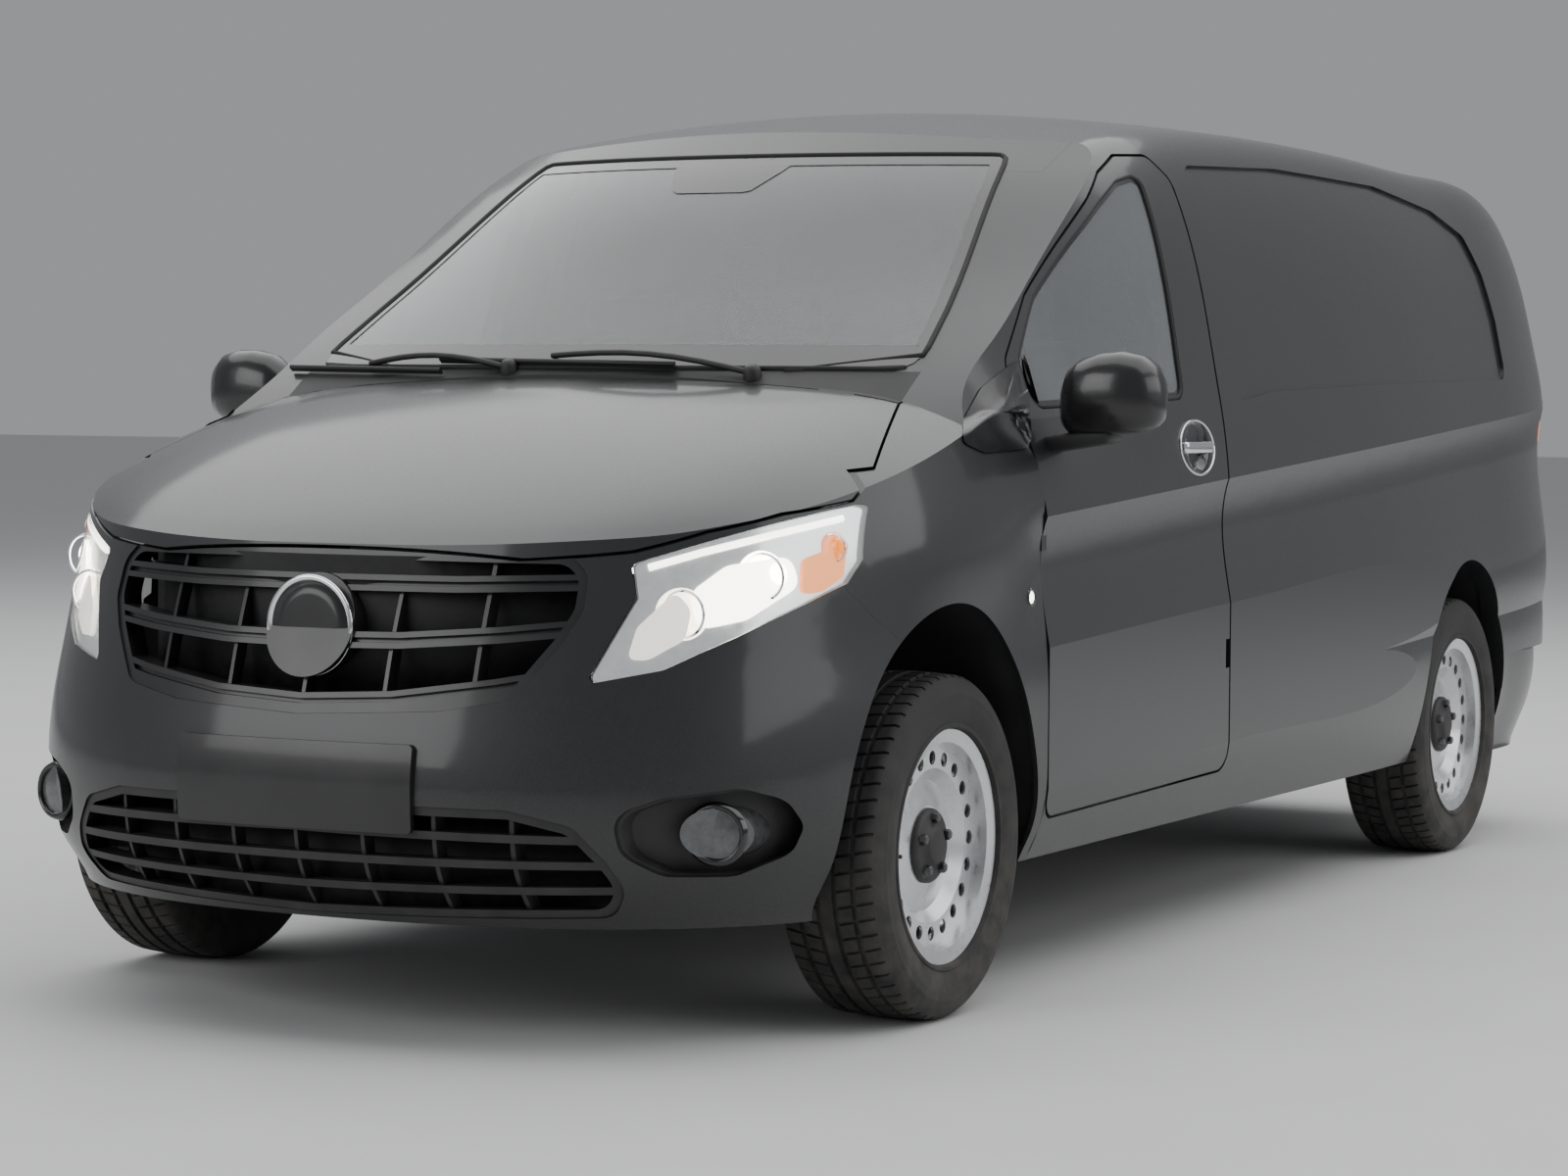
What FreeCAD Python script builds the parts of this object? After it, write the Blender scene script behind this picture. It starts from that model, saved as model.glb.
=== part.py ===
import FreeCAD, Part
import Sketcher
import math
import os
from functools import lru_cache
from FreeCAD import Placement, Rotation, Vector

# A one-box panel van with a steeply raked windscreen, two cab doors, a sliding door on its
# right side, blank load-space sides, twin rear doors and pressed steel wheels.
# Frame: +X towards the nose, +Y towards the vehicle's left, +Z up. The origin is on the ground
# below the middle of the overall length.

SIZES = {
    # whole vehicle
    "overall_length": 5140,
    "overall_width": 1928,
    "overall_height": 1890,
    "wheelbase": 3200,
    "front_overhang": 895,
    "track_front": 1666,
    "track_rear": 1646,
    "panel_gap": 6,
    "seat_gap": 0.3,
    "overrun": 30,
    # tyres and wheels
    "tyre_radius": 339,
    "tyre_width": 225,
    "rim_radius": 216,
    "rim_width": 178,
    "hub_bore": 33,
    "vent_radius": 14,
    "vent_circle": 172,
    "vent_count": 20,
    # body side
    "body_bottom": 270,
    "low_crease_height": 555,
    "crease_height": 1043,
    "belt_height": 1215,
    "ditch_drop": 52,
    "roof_split_height": 1700,
    "wall": 50,
    "skin": 10,
    "recess_depth": 9,
    "post_length": 60,
    # arches
    "arch_half_length": 380,
    "arch_shift": 8,
    "front_arch_height": 475,
    "rear_arch_height": 440,
    "liner_half_length": 392,
    "liner_lift": 5,
    "liner_wall": 6,
    "liner_inner_y": 500,
    "liner_bottom": 430,
    "liner_skirt": 278,
    "wheel_box_inner_y": 672,
    # cab doors
    "door_front_x": 1270,
    "outline_radius": 45,
    "glass": 5,
    "glass_inset": 6,
    "door_rear_gap": 8,
    "flange_width": 22,
    "leaf_y": 922,
    "leaf_width": 24,
    "leaf_height": 80,
    "leaf_reach": 40,
    "door_leaf_reach": 24,
    "door_leaf_low_z": 560,
    "door_leaf_high_z": 900,
    "handle_x": 430,
    "handle_height": 1100,
    "handle_radius": 60,
    "handle_depth": 28,
    "grip_length": 96,
    "grip_height": 26,
    # rear end
    "rear_door_gap": 9,
    "rear_leaf_depth": 24,
    "rear_leaf_low_z": 650,
    "rear_leaf_high_z": 1350,
    "lamp_inner_y": 762,
    "bumper_skin": 14,
    "bumper_front_x": 1900,
    "lamp_front_x": 2385,
    # front end
    "plate_length": 520,
    "plate_height": 163,
    "plate_bottom": 410,
    "plate_depth": 12,
    "plate_gap": 1.2,
    "nose_bottom": 232,
    "bonnet_leaf_y": 560,
    "cowl_thickness": 12,
    "cowl_front_x": 1508,
    "cowl_rear_x": 1395,
    "cowl_half_width": 737,
    "plenum_wall_x": 1420,
    "plenum_half_width": 690,
    "grille_depth": 52,
    "grille_frame": 17,
    "cap_radius": 96,
    "bar_height": 30,
    "bar_groove": 9,
    "bar_step": 7,
    "rib_step": 14,
    "rib_depth": 46,
    "rib_width": 8,
    "grille_set_back": 4,
    "screen_base_x": 1525,
    "screen_top_x": 785,
    "screen_bow_base": 90,
    "screen_bow_top": 260,
    "screen_bow_at": 750,
    "screen_glass": 6,
    "lens": 4,
    "lamp_depth": 105,
    "lamp_rear_x": 1900,
    "pocket_depth": 40,
    "pocket_rear_x": 1990,
    "fog_radius": 48,
    "side_lamp_radius": 17,
    # floor
    "cab_floor_top": 412,
    "load_floor_top": 545,
    "floor_thickness": 40,
    "floor_clearance": 8,
    "bulkhead_x": 150,
    "firewall_x": 1225,
    "firewall_top": 1130,
    "sheet_thickness": 15,
    # chassis
    "rail_width": 70,
    "rail_height": 70,
    "rail_y": 400,
    "rail_rear_x": -2400,
    "rail_top": 520,
    "tow_hole_radius": 6.5,
    "tow_hole_spacing": 120,
    "tow_hole_inset": 60,
    "beam_x": 2360,
    "beam_height": 90,
    "beam_depth": 45,
    "beam_half_width": 480,
    "cradle_width": 90,
    "cradle_height": 50,
    "pivot_y": 773,
    "pivot_radius": 16,
    "arm_width": 50,
    "arm_height": 28,
    "arm_drop": 120,
    "arm_gap": 5,
    "arm_rise": 150,
    "strut_radius": 32,
    "strut_y": 652,
    "stub_radius": 32.7,
    "upright_length": 80,
    "upright_width": 44,
    "shield_radius": 150,
    "shield_thickness": 4,
    "shield_y": 804,
    "axle_beam_size": 70,
    "axle_drop": 60,
    "arm_y": 474,
    "arm_front_x": -1100,
    "bracket_length": 70,
    "bracket_height": 90,
    # engine bay and underside
    "engine_length": 640,
    "engine_width": 520,
    "engine_height": 660,
    "engine_x": 1330,
    "engine_z": 330,
    "mounting_width": 60,
    "mounting_y": 150,
    "radiator_thickness": 40,
    "radiator_width": 660,
    "radiator_height": 420,
    "radiator_z": 395,
    "shaft_radius": 34,
    "shaft_height": 330,
    "silencer_radius": 84,
    "silencer_length": 620,
    "silencer_x": -700,
    "exhaust_y": -250,
    "pipe_radius": 25,
    "tank_length": 760,
    "tank_width": 330,
    "tank_height": 175,
    "tank_x": -700,
    "tank_y": 485,
    "edge_radius": 30,
    # cab fittings
    "wheel_x": 905,
    "driver_y": 385,
    "wheel_height": 1075,
    "steering_radius": 190,
    "steering_rim": 15,
    "column_radius": 28,
    "column_length": 260,
    "seat_x": 430,
    "seat_length": 480,
    "seat_width": 500,
    "bench_width": 800,
    "bench_y": -390,
    "cushion_top": 820,
    "cushion_height": 150,
    "back_height": 640,
    "back_thickness": 120,
    "base_inset": 60,
    # mirrors
    "mirror_x": 1095,
    "mirror_y": 950,
    "mirror_length": 145,
    "mirror_width": 217,
    "mirror_height": 168,
    "mirror_bottom": 1137,
    "mirror_round": 50,
    "stalk_length": 70,
    "stalk_height": 46,
    "stalk_inner_y": 915,
    # sliding door
    "rail_slot_height": 26,
    "rail_slot_z": 1105,
    "rail_slot_depth": 20,
    "rail_slot_length": 1020,
}

doc = FreeCAD.newDocument("panel_van")
sheet = doc.addObject("Spreadsheet::Sheet", "sizes")
for row, (alias, value) in enumerate(SIZES.items(), start=1):
    sheet.set(f"A{row}", alias)
    sheet.set(f"B{row}", str(value))
    sheet.setAlias(f"B{row}", alias)
doc.recompute()


def size(alias):
    """The value of one cell of the sheet of sizes."""
    return float(sheet.get(alias))


LENGTH = size("overall_length")
HALF_LENGTH = LENGTH / 2
HALF_WIDTH = size("overall_width") / 2
HEIGHT = size("overall_height")
NOSE_REACH = HALF_LENGTH - size("plate_depth")
FRONT_AXLE = HALF_LENGTH - size("front_overhang")
REAR_AXLE = FRONT_AXLE - size("wheelbase")
AXLE_HEIGHT = size("tyre_radius")
DOOR_X = size("door_front_x")
WALL = size("wall")
SKIN = size("skin")
PANEL_GAP = size("panel_gap")
SEAT_GAP = size("seat_gap")
OVERRUN = size("overrun")

SUBPARTS = {}


# Curves through hand-chosen points

def through(knots, x):
    """A smooth value at x through (place, value) pairs with rising places."""
    xs = [k[0] for k in knots]
    ys = [k[1] for k in knots]
    last = len(xs) - 1
    x = min(max(x, xs[0]), xs[last])
    i = max(j for j in range(last) if xs[j] <= x)

    def slope(j):
        if j == 0:
            return (ys[1] - ys[0]) / (xs[1] - xs[0])
        if j == last:
            return (ys[j] - ys[j - 1]) / (xs[j] - xs[j - 1])
        before = xs[j] - xs[j - 1]
        after = xs[j + 1] - xs[j]
        rise_before = (ys[j] - ys[j - 1]) / before
        rise_after = (ys[j + 1] - ys[j]) / after
        return (rise_before * after + rise_after * before) / (before + after)

    span = xs[i + 1] - xs[i]
    t = (x - xs[i]) / span
    return (
        (1 + 2 * t) * (1 - t) ** 2 * ys[i]
        + t * (1 - t) ** 2 * span * slope(i)
        + t * t * (3 - 2 * t) * ys[i + 1]
        + t * t * (t - 1) * span * slope(i + 1)
    )


def scaled(shares, along, value):
    """Pairs of shares as pairs of lengths."""
    return [(a * along, v * value) for a, v in shares]


def curve(points):
    """An edge through the points: straight through two, smooth through more."""
    vectors = [Vector(*p) for p in points]
    if len(vectors) == 2:
        return Part.LineSegment(*vectors).toShape()
    spline = Part.BSplineCurve()
    spline.interpolate(vectors)
    return spline.toShape()


def surface(rows):
    """A face through a grid of points."""
    spline = Part.BSplineSurface()
    spline.interpolate([[Vector(*p) for p in row] for row in rows])
    return spline.toShape()


GRID_SHARES = (-1, -0.8, -0.6, -0.4, -0.2, 0, 0.2, 0.4, 0.6, 0.8, 1)

# Cross-sections of the body, all along its length. Shares of the half length and of the height
ROOF_SHARES = ((-0.99, 0.944), (-0.914, 0.9725), (-0.70, 0.988), (-0.39, 0.998), (-0.117, 1.0),
               (0.117, 0.985), (0.28, 0.948))
# Shares of the half length, and of the half width
REAR_TAPER_SHARES = ((-1.0, 0.74), (-0.9844, 0.825), (-0.965, 0.880), (-0.9416, 0.917), (-0.895, 0.945),
                     (-0.778, 0.968), (-0.584, 0.986), (-0.39, 0.998), (0.0, 1.0), (0.61, 1.0))
CAB_TAPER_SHARES = ((0.097, 1.0), (0.233, 0.985), (0.33, 0.945), (0.41, 0.925), (0.494, 0.91), (0.61, 0.90))
# Zone (0 sill, 1 lower door, 2 shoulder, 3 upper side), share of the zone's height, share of the
# half width, and share of the cab's taper
SIDE_SECTION_SHARES = (
    (0, 0.00, 0.949, 0), (0, 0.30, 0.983, 0),
    (1, 0.00, 1.000, 0), (1, 0.50, 0.993, 0), (1, 0.885, 0.979, 0),
    (2, 0.00, 0.992, 0), (2, 0.35, 0.986, 0.1),
    (3, 0.00, 0.968, 0.4), (3, 0.42, 0.917, 1), (3, 0.78, 0.8455, 1), (3, 0.87, 0.8175, 0.95),
    (3, 0.955, 0.775, 0.9), (3, 1.0, 0.716, 0.8),
)
ZONE_STARTS = (0, 2, 5, 7, 12)
CREASE_POINTS = (4, 6)
LOW_CREASE_SLOPE_SHARE = -0.033
CREASE_SLOPE_SHARE = -0.058
BELT_SLOPE_SHARE = -0.040
ROOF_STEPS = 6
BODY_STATION_SHARES = (-1.0, -0.9844, -0.965, -0.9416, -0.895, -0.84, -0.7, -0.5, -0.25, 0.0, 0.15, 0.25,
                       0.33, 0.41, 0.494, 0.61)


def roof_height(x):
    return through(scaled(ROOF_SHARES, HALF_LENGTH, HEIGHT), x)


def levels(x):
    """Heights that part the zones of the body side at x."""
    return (
        size("body_bottom"),
        size("low_crease_height") + LOW_CREASE_SLOPE_SHARE * x,
        size("crease_height") + CREASE_SLOPE_SHARE * x,
        size("belt_height") + BELT_SLOPE_SHARE * x,
        roof_height(x) - size("ditch_drop"),
    )


def side_section(x):
    """(y, z) points of the left side from the sill up to the roof ditch."""
    heights = levels(x)
    rear = through(scaled(REAR_TAPER_SHARES, HALF_LENGTH, 1), x)
    cab = 1 - through(scaled(CAB_TAPER_SHARES, HALF_LENGTH, 1), x)
    points = []
    for zone, share, width, weight in SIDE_SECTION_SHARES:
        z = heights[zone] + share * (heights[zone + 1] - heights[zone])
        points.append((HALF_WIDTH * width * rear * (1 - cab * weight), z))
    return points


def inset(points, depth):
    """The points moved inwards by depth, square to their line."""
    moved = []
    last = len(points) - 1
    for i, (y, z) in enumerate(points):
        y0, z0 = points[max(i - 1, 0)]
        y1, z1 = points[min(i + 1, last)]
        length = math.hypot(y1 - y0, z1 - z0)
        moved.append((y - depth * (z1 - z0) / length, z + depth * (y1 - y0) / length))
    return moved


def body_wire(x, depth, bottom):
    """The whole cross-section at x, inset by depth and carried down by bottom."""
    left = inset(side_section(x), depth)
    left[0] = (left[0][0], left[0][1] - bottom)
    edge_y, edge_z = left[-1]
    crown = roof_height(x) - depth - edge_z
    roof = []
    for i in range(ROOF_STEPS + 1):
        share = 1 - 2 * i / ROOF_STEPS
        roof.append((x, edge_y * share, edge_z + crown * (1 - share * share)))
    zones = list(zip(ZONE_STARTS, ZONE_STARTS[1:]))
    edges = []
    for start, end in zones:
        edges.append(curve([(x, y, z) for y, z in left[start:end + 1]]))
    edges.append(curve(roof))
    for start, end in reversed(zones):
        edges.append(curve([(x, -y, z) for y, z in reversed(left[start:end + 1])]))
    edges.append(curve([(x, -left[0][0], left[0][1]), (x, left[0][0], left[0][1])]))
    return Part.Wire(edges)


@lru_cache(maxsize=None)
def body_loft(depth=0, bottom=0):
    """The solid within the body sides and roof, inset by depth."""
    wires = [body_wire(s * HALF_LENGTH, depth, bottom) for s in BODY_STATION_SHARES]
    return Part.makeLoft(wires, True, False)


# Windscreen. Shares of the half length and of the height down its middle
SCREEN_SHARES = ((0.12, 1.055), (0.19, 1.012), (0.272, 0.949), (0.35, 0.890), (0.467, 0.7778),
                 (0.5934, 0.6561), (0.66, 0.588), (0.74, 0.505))
BOW_POWER_SHARE = 2.2


def screen_bow(x):
    """How far the screen curves back at its side, at the height where its middle is at x."""
    share = (size("screen_base_x") - x) / (size("screen_base_x") - size("screen_top_x"))
    share = min(max(share, 0), 1)
    return size("screen_bow_base") + share * (size("screen_bow_top") - size("screen_bow_base"))


def screen_face(shift=0):
    """The windscreen's surface, moved back by shift."""
    rows = []
    for share, height in SCREEN_SHARES:
        x = share * HALF_LENGTH
        row = []
        for g in GRID_SHARES:
            y = g * HALF_WIDTH
            bow = screen_bow(x) * (abs(y) / size("screen_bow_at")) ** BOW_POWER_SHARE
            row.append((x - bow - shift, y, height * HEIGHT))
        rows.append(row)
    return surface(rows)


# Rear face. Shares of the height and of the half length
REAR_FACE_SHARES = ((0.05, 0.980), (0.3, 0.984), (0.6, 0.982), (0.8, 0.972), (0.92, 0.957), (1.02, 0.942))
REAR_BOW_SHARE = 0.035


def rear_face(shift=0):
    """The rear end's surface, moved forward by shift."""
    rows = []
    for height, reach in REAR_FACE_SHARES:
        row = []
        for g in GRID_SHARES:
            x = REAR_BOW_SHARE * HALF_WIDTH * g * g - reach * HALF_LENGTH + shift
            row.append((x, g * HALF_WIDTH, height * HEIGHT))
        rows.append(row)
    return surface(rows)


# Nose and wings, from the cab doors forward. Shares of the height and of the nose's reach
NOSE_SHARES = ((0.09, 0.944), (0.1228, 0.9615), (0.139, 0.973), (0.175, 0.9905), (0.238, 0.9992),
               (0.291, 0.9978), (0.328, 0.9915), (0.41, 0.974), (0.487, 0.953), (0.53, 0.944),
               (0.582, 0.930), (0.64, 0.912), (0.69, 0.89))
# Share of the height, and the powers of the plan's curve across and along
PLAN_CURVE_SHARES = ((0.3, 2.25, 3.9), (0.55, 2.3, 3.4))
BELT_STEPS = 20
BELT_LEVEL_SHARES = (0.09, 0.1228, 0.139, 0.175, 0.22, 0.27, 0.328, 0.38, 0.43, 0.487, 0.53, 0.582, 0.64,
                     0.69)


def side_width(z, skip=()):
    """The half width of the body at the cab doors' leading edge, at height z."""
    points = [p for i, p in enumerate(side_section(DOOR_X)) if i not in skip]
    return through([(p[1], p[0]) for p in points], z)


def belt_point(angle, z, depth):
    """A point round the nose at height z: angle 0 is dead ahead, a right angle is at the doors."""
    low, high = PLAN_CURVE_SHARES
    u = min(max((z / HEIGHT - low[0]) / (high[0] - low[0]), 0), 1)
    across = low[1] + u * (high[1] - low[1])
    along = low[2] + u * (high[2] - low[2])
    c = abs(math.cos(angle))
    s = abs(math.sin(angle))
    reach = through(scaled(NOSE_SHARES, HEIGHT, NOSE_REACH), z) - depth - DOOR_X
    x = DOOR_X + reach * c ** (2 / along)
    fade = min(max((x - DOOR_X) / size("arch_half_length"), 0), 1)
    width = side_width(z) * (1 - fade) + side_width(z, CREASE_POINTS) * fade
    return (x, math.copysign((width - depth) * s ** (2 / across), angle), z)


def belt_wire(z, depth, back):
    angles = [math.pi / 2 * (1 - 2 * i / BELT_STEPS) for i in range(BELT_STEPS + 1)]
    points = [belt_point(a, z, depth) for a in angles]
    left = points[0]
    right = points[-1]
    edges = [curve(points)]
    if back:
        behind_right = (DOOR_X - back, right[1], z)
        behind_left = (DOOR_X - back, left[1], z)
        edges.append(curve([right, behind_right]))
        edges.append(curve([behind_right, behind_left]))
        edges.append(curve([behind_left, left]))
    else:
        edges.append(curve([right, left]))
    return Part.Wire(edges)


@lru_cache(maxsize=None)
def belt_loft(depth=0, back=0):
    """The solid within the nose and wings, inset by depth, carried back past the doors' edge."""
    return Part.makeLoft([belt_wire(s * HEIGHT, depth, back) for s in BELT_LEVEL_SHARES], True, False)


# Bonnet. Shares of the half length and of the height down its middle
BONNET_SHARES = ((0.45, 0.6825), (0.584, 0.6603), (0.66, 0.6355), (0.778, 0.5884), (0.875, 0.5397),
                 (0.926, 0.509), (0.955, 0.487), (1.02, 0.425))
BONNET_CROWN_SHARE = 0.032
BONNET_DROP_SHARE = 0.058
BONNET_POWER_SHARES = (2, 8)
BONNET_EDGE_SHARES = ((0.494, 0.99), (0.65, 0.985), (0.76, 0.96), (0.86, 0.88), (0.93, 0.74), (1.02, 0.62))
BONNET_ROW_SHARES = (0.44, 0.52, 0.6, 0.68, 0.75, 0.81, 0.86, 0.9, 0.94, 0.98, 1.02)
BONNET_COLUMN_SHARES = (-1.04, -0.98, -0.92, -0.85, -0.75, -0.6, -0.4, -0.2, 0,
                        0.2, 0.4, 0.6, 0.75, 0.85, 0.92, 0.98, 1.04)


def bonnet_face(drop=0):
    """The bonnet's surface, lowered by drop."""
    rows = []
    for share in BONNET_ROW_SHARES:
        x = share * HALF_LENGTH
        middle = through(scaled(BONNET_SHARES, HALF_LENGTH, HEIGHT), x) - drop
        edge = through(scaled(BONNET_EDGE_SHARES, HALF_LENGTH, HALF_WIDTH), x)
        row = []
        for g in BONNET_COLUMN_SHARES:
            t = abs(g) * HALF_WIDTH / edge
            crown = BONNET_CROWN_SHARE * t ** BONNET_POWER_SHARES[0]
            drop_share = t ** BONNET_POWER_SHARES[1]
            steep = BONNET_DROP_SHARE * drop_share / (1 + drop_share)
            row.append((x, g * HALF_WIDTH, middle - (crown + steep) * HEIGHT))
        rows.append(row)
    return surface(rows)


# Outlines and prisms

CORNER_SHARE = 0.45


def rounded(points, radius):
    """A closed wire through the corners of a plane outline, each rounded as far as its sides allow."""
    corners = [Vector(*p) for p in points]
    count = len(corners)
    ends = []
    for i, corner in enumerate(corners):
        before = corners[i - 1] - corner
        after = corners[(i + 1) % count] - corner
        turn = math.pi - before.getAngle(after)
        reach = min(radius * math.tan(turn / 2), before.Length * CORNER_SHARE, after.Length * CORNER_SHARE)
        before.normalize()
        after.normalize()
        fit = reach / math.tan(turn / 2)
        bisector = (before + after).normalize()
        middle = corner + bisector * (fit / math.cos(turn / 2) - fit)
        ends.append((corner + before * reach, middle, corner + after * reach))
    edges = []
    for i, (start, middle, end) in enumerate(ends):
        edges.append(Part.Arc(start, middle, end).toShape())
        edges.append(Part.LineSegment(end, ends[(i + 1) % count][0]).toShape())
    return Part.Wire(edges)


def offset(outline, distance):
    """The outline moved outwards by distance (inwards if negative), corner by corner."""
    count = len(outline)
    area = 0
    for i in range(count):
        (x0, y0), (x1, y1) = outline[i - 1], outline[i]
        area += x0 * y1 - x1 * y0
    sign = math.copysign(1, area)
    moved = []
    for i, (x, y) in enumerate(outline):
        x0, y0 = outline[i - 1]
        x1, y1 = outline[(i + 1) % count]
        a = math.hypot(x - x0, y - y0)
        b = math.hypot(x1 - x, y1 - y)
        na = ((y - y0) / a * sign, -(x - x0) / a * sign)
        nb = ((y1 - y) / b * sign, -(x1 - x) / b * sign)
        grow = distance / (1 + na[0] * nb[0] + na[1] * nb[1])
        moved.append((x + (na[0] + nb[0]) * grow, y + (na[1] + nb[1]) * grow))
    return moved


def prism(points, radius, reach):
    """The solid swept by a rounded outline along the vector reach."""
    if radius:
        wire = rounded(points, radius)
    else:
        wire = Part.makePolygon([Vector(*p) for p in points + points[:1]])
    return Part.Face(wire).extrude(Vector(*reach))


def side_prism(outline, radius=0, y_from=0, y_to=None):
    """A prism across the vehicle from (x, z) points, on the left side where nothing else is said."""
    y_to = 2 * HALF_WIDTH if y_to is None else y_to
    return prism([(x, y_from, z) for x, z in outline], radius, (0, y_to - y_from, 0))


def front_prism(outline, radius=0, x_from=0, x_to=None):
    """A prism along the vehicle from (y, z) points."""
    x_to = LENGTH if x_to is None else x_to
    return prism([(x_from, y, z) for y, z in outline], radius, (x_to - x_from, 0, 0))


def plan_prism(outline, z_from, z_to):
    """A vertical prism from (x, y) points."""
    return prism([(x, y, z_from) for x, y in outline], 0, (0, 0, z_to - z_from))


def block(x0, x1, y0, y1, z0, z1):
    return Part.makeBox(x1 - x0, y1 - y0, z1 - z0, Vector(x0, y0, z0))


def across(radius, x, y0, y1, z):
    """A cylinder across the vehicle."""
    return Part.makeCylinder(radius, y1 - y0, Vector(x, y0, z), Vector(0, 1, 0))


def along(radius, x0, x1, y, z):
    """A cylinder along the vehicle."""
    return Part.makeCylinder(radius, x1 - x0, Vector(x0, y, z), Vector(1, 0, 0))


def upright(radius, x, y, z0, z1):
    return Part.makeCylinder(radius, z1 - z0, Vector(x, y, z0))


def mirrored(shape):
    """The same shape on the vehicle's other side."""
    return shape.mirror(Vector(0, 0, 0), Vector(0, 1, 0))


def both(shape):
    return shape.fuse(mirrored(shape))


def keep(label, shape):
    """Adds one sub-part to the document from a finished shape."""
    feature = doc.addObject("Part::Feature", label)
    feature.Label = label
    feature.Shape = shape
    SUBPARTS[label] = feature


# Outlines of openings and panels. Side ones in shares of the half length and of the height
DOOR_SHARES = ((0.0973, 0.195), (0.4942, 0.186), (0.4942, 0.640), (0.4825, 0.683), (0.418, 0.754),
               (0.335, 0.8175), (0.268, 0.868), (0.228, 0.902), (0.183, 0.925), (0.125, 0.929),
               (0.0973, 0.9))
WINDOW_SHARES = ((0.178, 0.638), (0.466, 0.627), (0.461, 0.684), (0.402, 0.754), (0.318, 0.8175),
                 (0.25, 0.866), (0.206, 0.893), (0.171, 0.902), (0.158, 0.894), (0.167, 0.80))
PANEL_SHARES = ((0.06, 0.634), (-0.03, 0.647), (-0.3, 0.6566), (-0.757, 0.666), (-0.757, 0.75),
                (-0.743, 0.818), (-0.716, 0.873), (-0.635, 0.904), (-0.463, 0.928), (-0.178, 0.932),
                (0.06, 0.920))
SLIDER_SHARES = ((-0.315, 0.205), (0.075, 0.196), (0.075, 0.925), (-0.315, 0.929))
SLIDER_PANEL_SHARES = ((0.05, 0.636), (-0.29, 0.656), (-0.29, 0.915), (0.05, 0.912))
# Front ones in shares of the half width and of the height
SCREEN_OPENING_SHARES = ((-0.762, 0.667), (0.762, 0.667), (0.728, 0.737), (0.676, 0.822), (0.633, 0.893),
                         (0.612, 0.923), (-0.612, 0.923), (-0.633, 0.893), (-0.676, 0.822), (-0.728, 0.737))
REAR_OPENING_SHARES = ((-0.775, 0.269), (0.775, 0.269), (0.775, 0.48), (0.76, 0.64), (0.71, 0.80),
                       (0.645, 0.935), (-0.645, 0.935), (-0.71, 0.80), (-0.76, 0.64), (-0.775, 0.48))
HEADLAMP_SHARES = ((0.568, 0.3635), (0.69, 0.377), (0.79, 0.408), (0.868, 0.4375), (0.912, 0.4575),
                   (0.9235, 0.48), (0.915, 0.5365), (0.841, 0.522), (0.7645, 0.507), (0.666, 0.488),
                   (0.612, 0.478), (0.629, 0.445))
GRILLE_SHARES = ((0, 0.3275), (0.303, 0.335), (0.447, 0.348), (0.517, 0.401), (0.5456, 0.432),
                 (0.5436, 0.468), (0.505, 0.4865), (0, 0.4885))
LOWER_SHARES = ((0, 0.128), (0.60, 0.135), (0.64, 0.165), (0.615, 0.195), (0.565, 0.228), (0.45, 0.243),
                (0, 0.2455))
FOG_SHARES = ((0.64, 0.200), (0.70, 0.178), (0.80, 0.176), (0.875, 0.196), (0.893, 0.223), (0.875, 0.25),
              (0.82, 0.2635), (0.71, 0.2555), (0.63, 0.239))
FOG_CENTRE_SHARES = (0.778, 0.2185)
# The bonnet's shut lines: seen from the side, and from above
BONNET_LINE_SHARES = ((0.50, 0.60), (0.735, 0.565), (0.765, 0.5365), (0.82, 0.5245), (0.865, 0.508),
                      (0.899, 0.4885), (0.931, 0.4795), (0.95, 0.4895), (1.1, 0.4895), (1.1, 0.8),
                      (0.50, 0.8))
BONNET_PLAN_SHARES = ((0.587, 0.770), (0.727, 0.893), (0.80, 0.96), (1.1, 0.96), (1.1, -0.96), (0.80, -0.96),
                      (0.727, -0.893), (0.587, -0.770))
# The line from the headlamp down to the arch between bumper and wing
WING_SHARES = ((0.4, 0.05), (0.715, 0.05), (0.722, 0.388), (0.76, 0.423), (0.785, 0.452), (0.785, 0.8),
               (0.4, 0.8))


def side_outline(shares):
    return scaled(shares, HALF_LENGTH, HEIGHT)


def front_outline(shares):
    return scaled(shares, HALF_WIDTH, HEIGHT)


def whole_front_outline(shares):
    """The outline of a left half, closed with its mirror image."""
    half = front_outline(shares)
    return half + [(-y, z) for y, z in reversed(half) if y]


def arch(axle, half_length, height, shift=0):
    """The opening over a wheel, on both sides."""
    ends = [Vector(0, height, 0), Vector(half_length, 0, 0)]
    ends.sort(key=lambda end: -end.Length)
    ellipse = Part.Ellipse(*ends, Vector(0, 0, 0))
    wire = Part.Wire([ellipse.toShape()])
    face = Part.Face(wire)
    face.rotate(Vector(0, 0, 0), Vector(1, 0, 0), 90)
    face.translate(Vector(axle + shift, 2 * HALF_WIDTH, AXLE_HEIGHT))
    return face.extrude(Vector(0, -4 * HALF_WIDTH, 0))


RADIUS = size("outline_radius")


def both_sides_prism(outline, radius=0):
    """A prism right across the vehicle from (x, z) points."""
    return side_prism(outline, radius, -LENGTH, LENGTH)


def body_solid(depth=0, bottom=0):
    """The solid within the body, its windscreen and its rear face, inset by depth."""
    solid = body_loft(depth, bottom)
    solid = solid.cut(screen_face(depth).extrude(Vector(LENGTH, 0, 0)))
    return solid.common(rear_face(depth).extrude(Vector(LENGTH, 0, 0)))


def main_solid(shape):
    """The largest solid of a shape, without the slivers that a cut leaves."""
    return max(shape.Solids, key=lambda solid: solid.Volume)


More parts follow.
